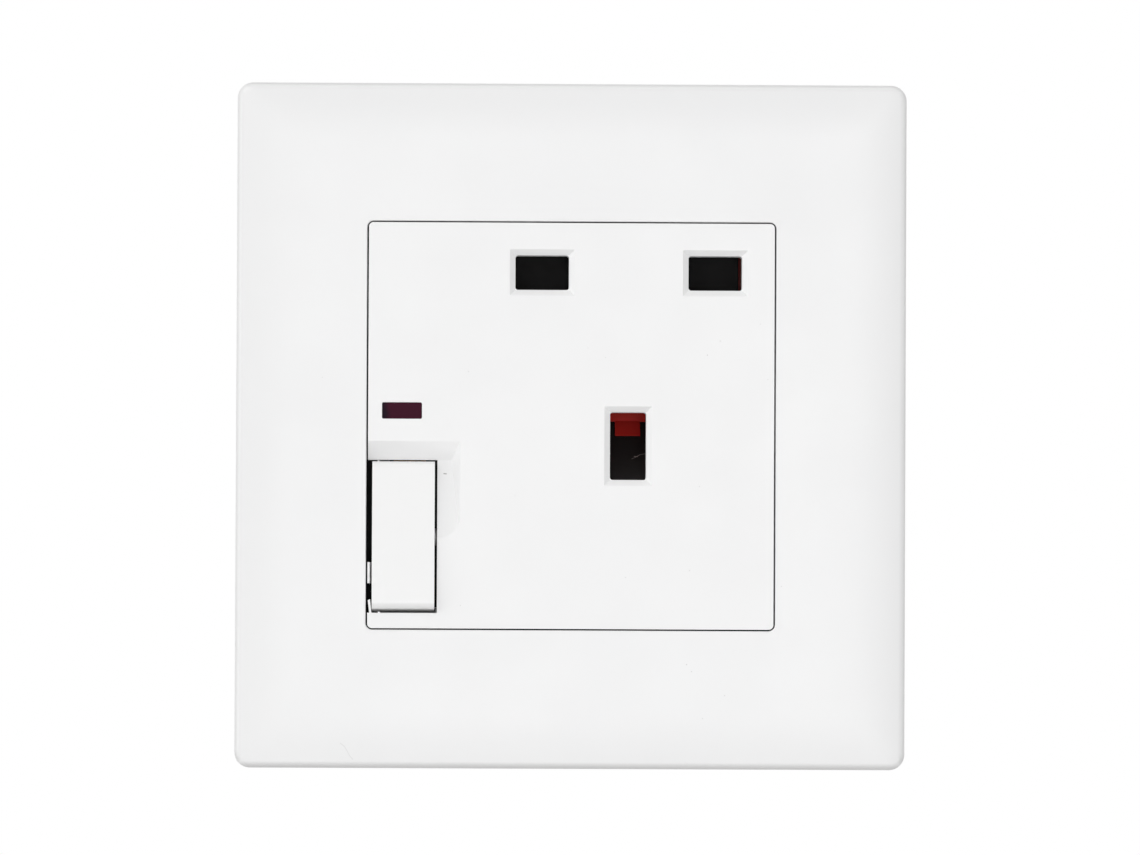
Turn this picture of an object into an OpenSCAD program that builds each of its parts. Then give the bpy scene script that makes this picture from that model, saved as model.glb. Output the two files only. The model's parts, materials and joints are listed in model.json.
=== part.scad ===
// Switched wall socket for three rectangular pins, with a clip-on surround plate.
// X runs to the right, Y runs into the wall and Z runs up. The wall's surface is Y = 0,
// and the origin lies midway between the two fixing holes.

/* [Surround plate] */
// Width of the surround plate
plate_w = 86; // [84:0.5:90]
// Height of the surround plate
plate_h = 88; // [85:0.5:92]
// How far the face stands out from the wall
projection = 9; // [8.6:0.2:11]
// Thickness of the plate's front wall
plate_wall = 2.2; // [1.8:0.1:2.6]
// Thickness of the plate's side walls
side_wall = 1.8; // [1.4:0.1:2.2]
// Corner radius of the plate seen from the front
plate_corner_r = 2; // [1:0.25:4]
// Radius of the round along the plate's front edge
plate_edge_r = 1; // [0.5:0.1:1.5]
// Width of the band in which the face falls away to the edge
pillow_band = 7; // [4:0.5:10]
// How far the face has fallen at the plate's edge
pillow_drop = 0.75; // [0.3:0.05:1]
// Gap between the surround's opening and the insert
insert_gap = 0.25; // [0.15:0.05:0.5]
// Thickness of the collar round the surround's opening
collar_t = 1.2; // [0.8:0.1:1.6]

/* [Insert] */
// Width and height of the insert's face
insert_w = 52.1; // [52:0.1:52.8]
// Corner radius of the insert's face
insert_corner_r = 0.6; // [0.3:0.1:1.2]
// Thickness of the insert's face
face_t = 2.2; // [2:0.1:2.4]
// How far the body steps in behind the insert's face on each side
body_step = 1.45; // [1.35:0.05:1.65]
// Wall of the cover where it goes through the mounting frame
skirt_t = 1.3; // [1:0.1:1.4]
// Depth from the face to the seam between cover and base
seam_depth = 12; // [11.8:0.1:12.4]

/* [Pin openings] */
// Distance between the centres of the live and neutral pins
pin_pitch = 22.23; // [22:0.01:22.4]
// Distance from the live and neutral row down to the earth pin
earth_drop = 22.23; // [22:0.01:22.4]
// Distance from the neutral pin's centre to the insert's right edge
neutral_edge = 7.61; // [7.45:0.01:7.9]
// Distance from the live and neutral row to the insert's top edge
row_edge = 6.37; // [6.25:0.01:6.55]
// Width of the live and neutral slots
line_slot_w = 6.88; // [6.6:0.02:7.2]
// Height of the live and neutral slots
line_slot_h = 4.44; // [4.3:0.02:4.6]
// Width of the earth slot
earth_slot_w = 4.64; // [4.4:0.02:4.8]
// Height of the earth slot
earth_slot_h = 8.69; // [8.4:0.02:8.9]
// Corner radius of the slots
slot_r = 0.35; // [0.2:0.05:0.6]
// Width of the sloping lead-in round each slot
lead_in_w = 0.74; // [0.4:0.02:0.9]
// Depth of the sloping lead-in round each slot
lead_in_d = 0.7; // [0.4:0.05:0.9]

/* [Rocker] */
// Width of the rocker's face
rocker_w = 7.85; // [7.6:0.05:7.9]
// Length of the rocker's face
rocker_l = 18.7; // [18.2:0.05:18.8]
// Height of the rocker's pivot above the insert's lower edge
rocker_rise = 11.79; // [11.65:0.01:12.05]
// Gap left of the rocker, to the insert's edge
rocker_left_gap = 0.57; // [0.4:0.01:0.8]
// Gap right of the rocker
rocker_right_gap = 0.5; // [0.35:0.05:0.6]
// Gap above and below the rocker half way through its travel
rocker_end_gap = 0.47; // [0.42:0.01:0.55]
// How far the rocker's middle stands out from the face
rocker_proud = 0.5; // [0.3:0.05:0.8]
// Angle of the rocker from the face in either position
rocker_tilt = 5; // [4:0.5:5.5]
// Depth of the rocker's pivot below its own face
pivot_depth = 3.6; // [3.4:0.1:3.8]
// Thickness of the rocker's face
paddle_t = 2.2; // [1.9:0.1:2.3]
// Radius of the round at the rocker's two ends
paddle_end_r = 1.1; // [0.8:0.1:1.3]
// Radius of the rocker's pivot pins
trunnion_r = 1.1; // [0.9:0.05:1.2]
// Outer radius of the tube that holds the rocker's spring
tower_r = 2.2; // [2.1:0.05:2.25]
// Radius of the bore for the spring and the plunger
tower_bore_r = 1.5; // [1.4:0.05:1.6]

/* [Finger recess] */
// Depth of the recess at the rocker's top
recess_d = 1.45; // [1.2:0.05:1.5]
// Height of the recess's sloping top wall
recess_slope_h = 2.39; // [2:0.05:2.6]
// Width of the recess's floor beside the rocker
recess_floor_w = 1.82; // [1.5:0.02:2]
// Width of the recess's sloping right wall
recess_wall_w = 1.1; // [0.8:0.05:1.2]
// Length of the recess's floor down to where it meets the face
recess_floor_l = 9.98; // [9:0.02:10.2]

/* [Neon lens] */
// Width of the lens
lens_w = 5.13; // [4.8:0.02:5.3]
// Height of the lens
lens_h = 2.12; // [1.9:0.02:2.3]
// Distance from the lens's middle to the insert's left edge
lens_edge = 4.34; // [4.25:0.01:4.7]
// Height of the lens above the rocker's pivot
lens_rise = 16.13; // [15.95:0.01:16.35]

/* [Mounting frame] */
// Distance between the two fixing holes
fixing_pitch = 60.3; // [60:0.1:60.6]
// Half the width of a fixing slot
fixing_r = 2.1; // [1.9:0.05:2.3]
// Length of a fixing slot
fixing_slot_l = 7; // [6:0.2:8]
// Distance from the wall to the frame's front
frame_depth = 3.2; // [3:0.1:3.4]
// Thickness of the frame's plate
frame_t = 1.8; // [1.6:0.1:2]
// Gap between the frame and the surround's side walls
frame_gap = 0.6; // [0.4:0.1:1]

/* [Terminals] */
// Radius of the wire holes
wire_r = 2.05; // [1.8:0.05:2.2]
// Radius of the terminal screws
clamp_screw_r = 1.9; // [1.7:0.05:2]
// Width of a terminal block
block_w = 7; // [6.6:0.1:7.2]
// Depth and height of a terminal block
block_d = 8.6; // [8.2:0.1:8.8]
// Distance from the live terminal's middle to the base's left wall
live_block_edge = 12.9; // [12.5:0.1:13.3]
// Thickness of the contact strips
strip_t = 0.8; // [0.6:0.1:0.9]
// Thickness of the contact leaves
leaf_t = 0.6; // [0.5:0.05:0.7]
// Gap between the leaves of a contact with a plug in
leaf_gap = 4.2; // [4.1:0.05:4.4]

/* [Hidden] */
$fn = 48;

// Clearances
seat_gap = 0.2;
pivot_gap = 0.06;
knife_gap = 0.06;
screw_gap = 0.02;
lens_gap = 0.03;
over = 0.1;

// Depths, from the face backwards
face_y = -projection;
face_back = face_y + face_t;
blade_y = face_y + 4.5;
blade_t = 1.2;
slide_y = blade_y + blade_t;
slide_t = 1.8;
retainer_y = slide_y + slide_t + seat_gap;
retainer_t = 1.6;
retainer_back = retainer_y + retainer_t;
seam_y = face_y + seam_depth;
frame_y = -frame_depth;
frame_back = frame_y + frame_t;
strip_y = face_y + 20.1;
block_y = strip_y + strip_t;
wire_y = block_y + block_d / 2;
floor_y = block_y + block_d;
rear_t = 3.5;
rear_y = floor_y + rear_t;

// Insert and body
opening_w = insert_w + 2 * insert_gap;
half_insert = insert_w / 2;
front_wall = 1.85;
ledge_t = 1.2;
body_w = insert_w - 2 * body_step;
half_body = body_w / 2;
body_corner_r = 1.2;
inner_corner_r = 0.5;
body_in = half_body - skirt_t;
base_wall = 1.6;
base_half = half_body - 0.1;
base_in = base_half - base_wall;

// Surround and mounting frame
collar_corner_r = 1.2;
hook_w = 6;
hook_t = 1.3;
hook_nose = 0.9;
hook_slope = 1.2;
hook_x = 22;
hook_z = plate_h / 2 - side_wall - frame_gap - 4.6;
hook_places = [[-hook_x, 1], [hook_x, 1], [-hook_x, -1], [hook_x, -1]];
frame_half_w = plate_w / 2 - side_wall - frame_gap;
frame_half_h = plate_h / 2 - side_wall - frame_gap;

// Pin places
neutral_x = half_insert - neutral_edge;
live_x = neutral_x - pin_pitch;
socket_x = neutral_x - pin_pitch / 2;
row_z = half_insert - row_edge;
earth_z = row_z - earth_drop;

// Rocker
rocker_z = -half_insert + rocker_rise;
rocker_x0 = -half_insert + rocker_left_gap;
rocker_x1 = rocker_x0 + rocker_w;
opening_x1 = rocker_x1 + rocker_right_gap;
opening_z0 = rocker_z - rocker_l / 2 - rocker_end_gap;
opening_z1 = rocker_z + rocker_l / 2 + rocker_end_gap;
pivot_y = face_y - rocker_proud + pivot_depth;
bearing_r = trunnion_r + 0.9;
bearing_t = 1.15;
bearing_gap = 0.3;
hub_x0 = -body_in + 0.1;
hub_x1 = rocker_x1 - 0.67;
tower_x = hub_x0 + tower_r + 0.3;
tower_l = seam_y - pivot_y - 0.4;
tower_floor = 0.3;
plunger_r = tower_bore_r - 0.06;
ball_r = 1;
rocker_wire_r = 0.16;
spring_l = 4.7;

// See-saw contact under the plunger
seesaw_angle = 10;
seesaw_half = 8;
seesaw_w = 3.6;
fulcrum_y = face_y + 18.15;
knife_r = 0.3;
ball_at = fulcrum_y - pivot_y - strip_t - ball_r / cos(seesaw_angle) - 0.13;
tip_at = 7;
tip_r = 1.3;
tip_t = 0.6;
tip_gap = 0.1;
tip_edge = 0.4;
ear_x = 1.2;
ear_t = 0.6;
ear_z = 0.55;

// Strips behind the switch
common_z0 = row_z - 7.08;
common_z1 = common_z0 + 4;
common_half = 2.1;
fixed_z1 = rocker_z - tip_at + tip_r + 0.6;

// Finger recess
recess_x1 = opening_x1 + recess_floor_w;
recess_x2 = recess_x1 + recess_wall_w;
recess_top = opening_z1 + recess_slope_h;
recess_end = opening_z1 - recess_floor_l;

// Small tab and web at the rocker's open left side
tab_z0 = rocker_z - 6.02;
tab_h = 2.7;
tab_t = 0.3;
web_x = rocker_x0 - 0.02;
web_h = 1.75;
web_t = 0.28;
web_lean = 0.2;

// Shutter
shutter_travel = 8.6;
flap_x0 = live_x - 5.41;
flap_x1 = neutral_x + 3.06;
flap_z0 = row_z - 2.78;
flap_z1 = row_z + 2.72;
bar_x0 = flap_x0 - 0.3;
bar_x1 = flap_x1 + 1.1;
bar_z0 = flap_z0 + 0.3;
bar_z1 = flap_z1 + 0.6;
window_half = 2.53;
shutter_half = 3.73;
window_top = earth_z + earth_slot_h / 2 + shutter_travel + 0.4;
ramp_z0 = earth_z - earth_slot_h / 2;
ramp_t = 1.7;
ramp_join_z = earth_z + 1.58;
prong_z = earth_z + 3.43;
notch_x0 = socket_x - 1.48;
notch_x1 = socket_x + 1.77;
slide_foot_z = ramp_z0 - 2.1;
ramp_d = 8.8;
slide_back = blade_y + ramp_d;
ramp_top_z = ramp_z0 + ramp_d;
ramp_edge = 0.3;
guide_gap = 0.3;
guide_t = 1.4;
shutter_spring_r = 1.8;
shutter_wire_r = 0.22;
spring_y = blade_y + 1;
spring_peg_r = 1;
spring_peg_l = 1.4;
foot_t = 0.8;

// Contacts
clip_w = 5.2;
earth_clip_w = 5.6;
tail_half = 2.2;
earth_base_y = face_y + 24.2;
earth_bend_z = block_d - base_in + 1.7;

// Terminal blocks: live and earth open downwards, neutral opens upwards
live_block_x = -base_in + live_block_edge;
block_places = [[live_block_x, -1], [neutral_x, 1], [socket_x, -1]];
block_gap = 0.15;

// Fasteners
boss_r = 3;
boss_at = body_in - boss_r - 0.3;
pilot_r = 1.37;
well_r = 2.9;
well_d = 2.6;
assembly_places = [
  [-boss_at, boss_at], [boss_at, earth_z + 4.55], [boss_at, -boss_at],
  [opening_x1 + 4.33, rocker_z + 6.76]
];
post_r = 2.2;
retainer_pilot_r = 0.8;
retainer_places = [[live_x - 0.81, earth_z + 6.55], [neutral_x - 3.04, earth_z - 7.95]];

// Neon
lens_x = -half_insert + lens_edge;
lens_z = rocker_z + lens_rise;
lens_rim = 0.7;
lens_pad_t = 0.9;
lamp_r = 1.9;
lamp_x = -body_in + lamp_r + 0.5;
lamp_y = face_back + 1.5 + lamp_r;
lamp_z0 = lens_z - 2.6;
lamp_l = 9.6;
lamp_rib_t = 1.2;
resistor_r = 1.15;
resistor_l = 6.3;
resistor_gap = 3.45;
resistor_y = lamp_y + lamp_r + resistor_gap + resistor_r;
lead_r = 0.3;
lead_pitch = 1.4;

// Ribs of the base
rib_t = 1.2;
switch_wall_x = tower_x + 3.3;
live_rib_x = live_x + 5.4;
neutral_rib_x = neutral_x - 5.8;

// Extrudes a shape drawn in X and Z from one depth to another
module along_y(y0, y1) {
  translate([0, y1, 0]) rotate([90, 0, 0]) linear_extrude(y1 - y0) children();
}

// Extrudes a shape drawn in Y and Z from one X to another
module along_x(x0, x1) {
  translate([x0, 0, 0]) rotate([90, 0, 90]) linear_extrude(x1 - x0) children();
}

// Extrudes a shape drawn in X and Y from one height to another
module along_z(z0, z1) {
  translate([0, 0, z0]) linear_extrude(z1 - z0) children();
}

// Box between two corners
module block(x0, x1, y0, y1, z0, z1) {
  translate([x0, y0, z0]) cube([x1 - x0, y1 - y0, z1 - z0]);
}

// Rod along Y
module rod_y(x, z, r, y0, y1) {
  translate([x, y0, z]) rotate([-90, 0, 0]) cylinder(r = r, h = y1 - y0);
}

// Rectangle with round corners, centred
module round_rect(w, h, r) {
  square([w - 2 * r, h], center = true);
  square([w, h - 2 * r], center = true);
  for (sx = [-1, 1], sz = [-1, 1]) {
    translate([sx * (w / 2 - r), sz * (h / 2 - r)]) circle(r);
  }
}

// Tube swept along a list of points, with flat ends. The direction up is never along the path.
function unit(v) = v / norm(v);
function tangent(p, i) = unit(p[min(i + 1, len(p) - 1)] - p[max(i - 1, 0)]);
function ring_point(p, i, a, r, up) =
  let (t = tangent(p, i), s = unit(cross(t, up)))
  p[i] + r * (cos(a) * s + sin(a) * cross(t, s));
module sweep(p, r, n, up) {
  last = (len(p) - 1) * n;
  polyhedron(
    points = [for (i = [0:len(p) - 1], k = [0:n - 1]) ring_point(p, i, 360 * k / n, r, up)],
    faces = concat(
      [[for (k = [0:n - 1]) k]],
      [for (i = [0:len(p) - 2], k = [0:n - 1])
        [i * n + k, (i + 1) * n + k, (i + 1) * n + (k + 1) % n, i * n + (k + 1) % n]],
      [[for (k = [n - 1:-1:0]) last + k]]
    )
  );
}

// Height at a turn of a compression spring on Z = 0, with a closed turn at each end
function coil_z(u, wire, l, turns) =
  u < 1 ? wire * (1 + 2.1 * u)
  : u > turns - 1 ? l - wire * (1 + 2.1 * (turns - u))
  : wire * 3.1 + (u - 1) / (turns - 2) * (l - 6.2 * wire);
function coil_points(r, wire, l, turns, n) = [
  for (i = [0:turns * n])
    [r * cos(360 * i / n), r * sin(360 * i / n), coil_z(i / n, wire, l, turns)]
];
module coil_spring(r, wire, l, turns) sweep(coil_points(r, wire, l, turns, 16), wire, 8, [0, 0, 1]);

// Front part of the surround's section: flat, falling to the edge, with a round edge.
// Drawn with its width along X and its depth along Y.
module pillow_section(w) {
  big_r = (pillow_band * pillow_band + pillow_drop * pillow_drop) / (2 * pillow_drop);
  flat = w / 2 - pillow_band;
  centre_y = face_y + big_r;
  inset = pillow_band - plate_edge_r;
  edge_y = centre_y - sqrt(pow(big_r - plate_edge_r, 2) - inset * inset);
  touch = big_r * inset / (big_r - plate_edge_r);
  translate([-flat, face_y]) square([2 * flat, projection]);
  for (s = [-1, 1]) {
    intersection() {
      translate([s * flat, centre_y]) circle(big_r, $fn = 180);
      translate([s > 0 ? flat - over : -flat - touch, face_y]) square([touch + over, projection]);
    }
    translate([s * (w / 2 - plate_edge_r), edge_y]) circle(plate_edge_r);
    translate([s > 0 ? flat : -w / 2, edge_y]) square([pillow_band, -edge_y]);
  }
}

// Hook of the surround that snaps behind the mounting frame
module snap_hook() {
  tip = frame_back + seat_gap;
  along_x(-hook_w / 2, hook_w / 2) polygon([
    [face_y + plate_wall - over, 0], [tip + hook_slope, 0], [tip, hook_nose],
    [tip, hook_t - over], [face_y + plate_wall - over, hook_t]
  ]);
}

module surround_plate() color("white") {
  opening_r = insert_corner_r + insert_gap;
  collar_w = opening_w + 2 * collar_t;
  difference() {
    intersection() {
      along_z(-plate_h / 2, plate_h / 2) pillow_section(plate_w);
      along_x(-plate_w / 2, plate_w / 2) mirror([1, -1]) pillow_section(plate_h);
      along_y(face_y - over, over) round_rect(plate_w, plate_h, plate_corner_r);
    }
    along_y(face_y + plate_wall, over)
      round_rect(plate_w - 2 * side_wall, plate_h - 2 * side_wall, 1);
    along_y(face_y - over, over) round_rect(opening_w, opening_w, opening_r);
  }
  difference() {
    along_y(face_y + plate_wall - over, frame_y - seat_gap) round_rect(collar_w, collar_w, collar_corner_r);
    along_y(face_y, frame_y + over) round_rect(opening_w, opening_w, opening_r);
  }
  for (h = hook_places) {
    translate([h[0], 0, h[1] * hook_z]) mirror([0, 0, h[1] < 0 ? 1 : 0]) snap_hook();
  }
}

module mounting_frame() color("dimgray") {
  body_gap = 0.25;
  opening = body_w + 2 * body_gap;
  pad_r = 5;
  slot_half = fixing_slot_l / 2 - fixing_r;
  lip_t = 1.4;
  rib_x = frame_half_w - 4;
  rib_z = half_body + 3.4;
  window_w = hook_w + 0.8;
  window_z0 = hook_z - 0.65;
  window_z1 = hook_z + hook_t + 1.2;
  difference() {
    union() {
      along_y(frame_y, frame_back) round_rect(2 * frame_half_w, 2 * frame_half_h, 2);
      difference() {
        along_y(frame_y, 0) round_rect(2 * frame_half_w, 2 * frame_half_h, 2);
        along_y(frame_back, over)
          round_rect(2 * (frame_half_w - lip_t), 2 * (frame_half_h - lip_t), 1);
      }
      for (s = [-1, 1]) {
        rod_y(s * (fixing_pitch / 2 - slot_half), 0, pad_r, frame_y, 0);
        rod_y(s * (fixing_pitch / 2 + slot_half), 0, pad_r, frame_y, 0);
        block(s * rib_x - lip_t / 2, s * rib_x + lip_t / 2, frame_back - over, 0,
          -frame_half_h + 1, frame_half_h - 1);
        block(-frame_half_w + 1, frame_half_w - 1, frame_back - over, 0,
          s * rib_z - lip_t / 2, s * rib_z + lip_t / 2);
      }
    }
    along_y(frame_y - over, over) round_rect(opening, opening, body_corner_r + body_gap);
    for (s = [-1, 1]) {
      translate([s * fixing_pitch / 2, 0, 0]) {
        rod_y(-slot_half, 0, fixing_r, frame_y - over, over);
        rod_y(slot_half, 0, fixing_r, frame_y - over, over);
        block(-slot_half, slot_half, frame_y - over, over, -fixing_r, fixing_r);
      }
    }
    for (h = hook_places) {
      mirror([0, 0, h[1] < 0 ? 1 : 0])
        block(h[0] - window_w / 2, h[0] + window_w / 2, frame_y - over, over, window_z0, window_z1);
    }
  }
}

// Slot through the face with its lead-in, centred on X and Z with the face at Y = 0
module slot_cut(w, h, depth) {
  reach = lead_in_w * (1 + over / lead_in_d);
  half = w + h;
  along_y(-over, depth) round_rect(w, h, slot_r);
  intersection() {
    along_x(-half, half) polygon([
      [-over, -h / 2 - reach], [-over, h / 2 + reach], [lead_in_d, h / 2], [lead_in_d, -h / 2]
    ]);
    along_z(-half, half) polygon([
      [-w / 2 - reach, -over], [w / 2 + reach, -over], [w / 2, lead_in_d], [-w / 2, lead_in_d]
    ]);
  }
}

// Collar behind a slot that guides the pin up to the shutter
module slot_collar(w, h) {
  wall = 1.2;
  along_y(face_back - over, blade_y - seat_gap) round_rect(w + 2 * wall, h + 2 * wall, 1);
}

// Space of the finger recess: its floor runs out to the face and its end is curved
module recess_cut() {
  end_r = recess_x2 - opening_x1;
  reach = recess_wall_w * (1 + over / recess_d);
  intersection() {
    along_x(-half_insert - over, recess_x2 + over) polygon([
      [face_y, recess_end], [face_y - over, recess_end],
      [face_y - over, recess_top + over * recess_slope_h / recess_d],
      [face_y + recess_d, opening_z1]
    ]);
    along_z(recess_end - over, recess_top + over) polygon([
      [-half_insert - over, face_y - over], [recess_x1 + reach, face_y - over],
      [recess_x1, face_y + recess_d], [-half_insert - over, face_y + recess_d]
    ]);
    union() {
      block(-half_insert - over, recess_x2 + over, face_y - over, face_back,
        recess_end + end_r, recess_top + over);
      rod_y(opening_x1, recess_end + end_r, end_r + 0.05, face_y - over, face_back);
      block(-half_insert - over, opening_x1, face_y - over, face_back, recess_end, recess_end + end_r);
    }
  }
}

// Posts that carry the rocker's pivot pins, left and right
module rocker_bearings() {
  along_x(-half_body, -half_body + bearing_t) union() {
    translate([pivot_y, rocker_z]) circle(bearing_r);
    translate([pivot_y, rocker_z - bearing_r]) square([seam_y - pivot_y, 2 * bearing_r]);
  }
  along_x(opening_x1, opening_x1 + bearing_t) union() {
    translate([pivot_y, rocker_z]) circle(bearing_r);
    translate([face_back - over, rocker_z - bearing_r])
      square([pivot_y - face_back + over, 2 * bearing_r]);
  }
}

// Latch of the cover that snaps behind the mounting frame, on the body's top or bottom
module body_latch() {
  latch_w = 6;
  latch_out = 0.9;
  latch_l = 1.3;
  latch_y = frame_back + 0.1;
  along_x(-latch_w / 2, latch_w / 2) polygon([
    [latch_y, -over], [latch_y, latch_out], [latch_y + latch_l, 0.2], [latch_y + latch_l, -over]
  ]);
}

module socket_cover() color("white") {
  latch_x = 9;
  pad_t = 0.9;
  pad_rim = 0.8;
  guide_x = shutter_half + guide_gap + guide_t / 2;
  guide_z0 = -body_in + 3.705;
  guide_z1 = flap_z0 - shutter_travel - 1.2;
  boss_pilot_l = 2.2;
  peg_l = 1.9;
  difference() {
    union() {
      difference() {
        along_y(face_y, frame_y) round_rect(insert_w, insert_w, insert_corner_r);
        along_y(face_back, frame_y - ledge_t)
          round_rect(insert_w - 2 * front_wall, insert_w - 2 * front_wall, inner_corner_r);
        along_y(frame_y - ledge_t - over, frame_y + over)
          round_rect(2 * body_in, 2 * body_in, inner_corner_r);
      }
      difference() {
        along_y(frame_y - over, seam_y) round_rect(body_w, body_w, body_corner_r);
        along_y(frame_y - 1, seam_y + over) round_rect(2 * body_in, 2 * body_in, inner_corner_r);
      }
      for (sx = [-1, 1], sz = [-1, 1]) {
        translate([sx * latch_x, 0, sz * half_body]) mirror([0, 0, sz < 0 ? 1 : 0]) body_latch();
      }
      translate([live_x, 0, row_z]) slot_collar(line_slot_w, line_slot_h);
      translate([neutral_x, 0, row_z]) slot_collar(line_slot_w, line_slot_h);
      translate([socket_x, 0, earth_z]) slot_collar(earth_slot_w, earth_slot_h);
      for (p = assembly_places) {
        rod_y(p[0], p[1], boss_r, face_back - over, seam_y);
      }
      for (p = retainer_places) {
        rod_y(p[0], p[1], post_r, face_back - over, retainer_y);
      }
      for (s = [-1, 1]) {
        block(socket_x + s * guide_x - guide_t / 2, socket_x + s * guide_x + guide_t / 2,
          face_back - over, retainer_y, guide_z0, guide_z1);
      }
      block(-half_insert + 1, recess_x2 + pad_rim, face_back - over, face_back + pad_t,
        recess_end, recess_top + pad_rim);
      rocker_bearings();
      for (z = [lamp_z0 + 1.5, lamp_z0 + 5.6]) {
        block(lamp_x - lamp_r - 0.3, lamp_x + lamp_r + 0.9, face_back - over, lamp_y + 0.6,
          z, z + lamp_rib_t);
      }
      translate([socket_x, spring_y, -body_in - over]) cylinder(r = spring_peg_r, h = peg_l);
    }
    translate([live_x, face_y, row_z]) slot_cut(line_slot_w, line_slot_h, seam_depth);
    translate([neutral_x, face_y, row_z]) slot_cut(line_slot_w, line_slot_h, seam_depth);
    translate([socket_x, face_y, earth_z]) slot_cut(earth_slot_w, earth_slot_h, seam_depth);
    recess_cut();
    difference() {
      block(-half_insert - over, opening_x1, face_y - over, frame_y, opening_z0, opening_z1);
      rocker_bearings();
    }
    translate([-half_body - over, pivot_y, rocker_z]) rotate([0, 90, 0])
      cylinder(r = trunnion_r + pivot_gap, h = opening_x1 + bearing_t + half_body + 2 * over);
    translate([lens_x, 0, lens_z]) along_y(face_y - over, face_back + pad_t + over)
      round_rect(lens_w, lens_h, 0.2);
    block(lens_x - lens_w / 2 - lens_rim - over, lens_x + lens_w / 2 + lens_rim + over,
      face_back, face_back + pad_t + over,
      lens_z - lens_h / 2 - lens_rim - over, lens_z + lens_h / 2 + lens_rim + over);
    translate([lamp_x, lamp_y, lamp_z0]) cylinder(r = lamp_r + 0.1, h = lamp_l);
    for (p = assembly_places) {
      rod_y(p[0], p[1], pilot_r, face_back + boss_pilot_l, seam_y + over);
    }
    for (p = retainer_places) {
      rod_y(p[0], p[1], retainer_pilot_r, face_back + 0.3, retainer_y + over);
    }
  }
  block(-half_insert, -half_insert + tab_t, face_y + 0.4, frame_y, tab_z0, tab_z0 + tab_h);
  block(-half_insert, -half_body + over, frame_y - ledge_t, frame_y, tab_z0, tab_z0 + tab_h);
  along_y(face_y + 0.15, frame_y) polygon([
    [web_x - web_t, opening_z0 - over], [web_x, opening_z0 - over],
    [web_x - web_lean, opening_z0 + web_h], [web_x - web_lean - web_t, opening_z0 + web_h - 0.15]
  ]);
}

// Walls round a terminal block, with the block's mouth towards +Z and its middle at Z = 0
module block_cradle() {
  half_x = block_w / 2 + block_gap;
  half_z = block_d / 2 + block_gap;
  front = block_y + 1.5;
  difference() {
    block(-half_x - rib_t, half_x + rib_t, front, floor_y + over, -half_z - rib_t, half_z + rib_t);
    block(-half_x, half_x, front - over, floor_y, -half_z, half_z);
  }
}

// Rib that stands on the floor and carries a contact strip from behind
module strip_rest(x, z, y0) {
  half = 1.5;
  block(x - half, x + half, y0, floor_y + over, z - rib_t / 2, z + rib_t / 2);
}

module rear_base() color("dimgray") {
  entry_w = 5.6;
  entry_d = 6.2;
  driver_r = 3.6;
  notch_gap = 0.3;
  double_y = strip_y + 2 * strip_t;
  rib_y = seam_y + 0.4;
  rib_z0 = row_z - 7.4;
  switch_wall_z = lamp_z0 + lamp_l + 0.5;
  difference() {
    union() {
      difference() {
        along_y(seam_y, rear_y) round_rect(2 * base_half, 2 * base_half, body_corner_r);
        along_y(seam_y - over, floor_y) round_rect(2 * base_in, 2 * base_in, 0.8);
      }
      for (p = assembly_places) {
        rod_y(p[0], p[1], boss_r, seam_y, floor_y + over);
      }
      for (b = block_places) {
        translate([b[0], 0, b[1] * (base_in - block_d / 2)]) block_cradle();
      }
      for (x = [live_rib_x, neutral_rib_x]) {
        block(x, x + rib_t, rib_y, floor_y + over, rib_z0, base_in + over);
      }
      block(switch_wall_x, switch_wall_x + rib_t, rib_y, floor_y + over, -base_in - over, switch_wall_z);
      strip_rest(tower_x, rocker_z, double_y);
      strip_rest(tower_x, common_z0 - 1.8, double_y);
      strip_rest(live_x, row_z, double_y);
      strip_rest(tower_x, rocker_z - tip_at, block_y);
      block(socket_x - rib_t / 2, socket_x + rib_t / 2, earth_base_y + strip_t, floor_y + over,
        earth_z - 2.5, earth_z + 2.5);
    }
    block(switch_wall_x - over, switch_wall_x + rib_t + over, strip_y - notch_gap, block_y + notch_gap,
      -base_in - over, fixed_z1 + notch_gap);
    for (b = block_places) {
      mirror([0, 0, b[1] < 0 ? 1 : 0])
        block(b[0] - entry_w / 2, b[0] + entry_w / 2, wire_y - entry_d / 2, wire_y + entry_d / 2,
          base_in - over, base_half + over);
      rod_y(b[0], b[1] * (base_in - block_d / 2), driver_r, floor_y - over, rear_y + over);
    }
    for (p = assembly_places) {
      rod_y(p[0], p[1], pilot_r + 0.25, seam_y - over, rear_y + over);
      rod_y(p[0], p[1], well_r, rear_y - well_d, rear_y + over);
    }
  }
}

module shutter_retainer() color("dimgray") {
  x0 = flap_x0 - 1.8;
  x1 = flap_x1 + 0.9;
  step_z = earth_z + 8.95;
  low_x0 = x0 + 3.4;
  low_x1 = socket_x + 9.6;
  low_z = -body_in + 3.505;
  hole_gap = 0.25;
  stem_half = shutter_half + 0.4;
  difference() {
    along_y(retainer_y, retainer_back) union() {
      translate([x0, step_z]) square([x1 - x0, body_in - 0.7 - step_z]);
      translate([low_x0, low_z]) square([low_x1 - low_x0, step_z - low_z + over]);
    }
    for (x = [live_x, neutral_x]) {
      translate([x, 0, row_z]) along_y(retainer_y - over, retainer_back + over)
        round_rect(line_slot_w + 2 * hole_gap, line_slot_h + 2 * hole_gap, 0.5);
    }
    block(socket_x - stem_half, socket_x + stem_half, retainer_y - over, retainer_back + over,
      slide_foot_z - shutter_travel - 0.5, ramp_top_z + ramp_edge + 0.4);
    for (p = retainer_places) {
      rod_y(p[0], p[1], retainer_pilot_r + 0.3, retainer_y - over, retainer_back + over);
    }
  }
}

// Side of the ramp's upper edge up to a height, drawn in Y and Z, from a start on the ramp
module ramp_side(start, top_z) {
  y = blade_y + top_z - ramp_z0;
  polygon([
    start, [y, top_z], [y + ramp_t / 2, top_z - ramp_t / 2], [slide_y, ramp_z0 + blade_t - ramp_t]
  ]);
}

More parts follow.
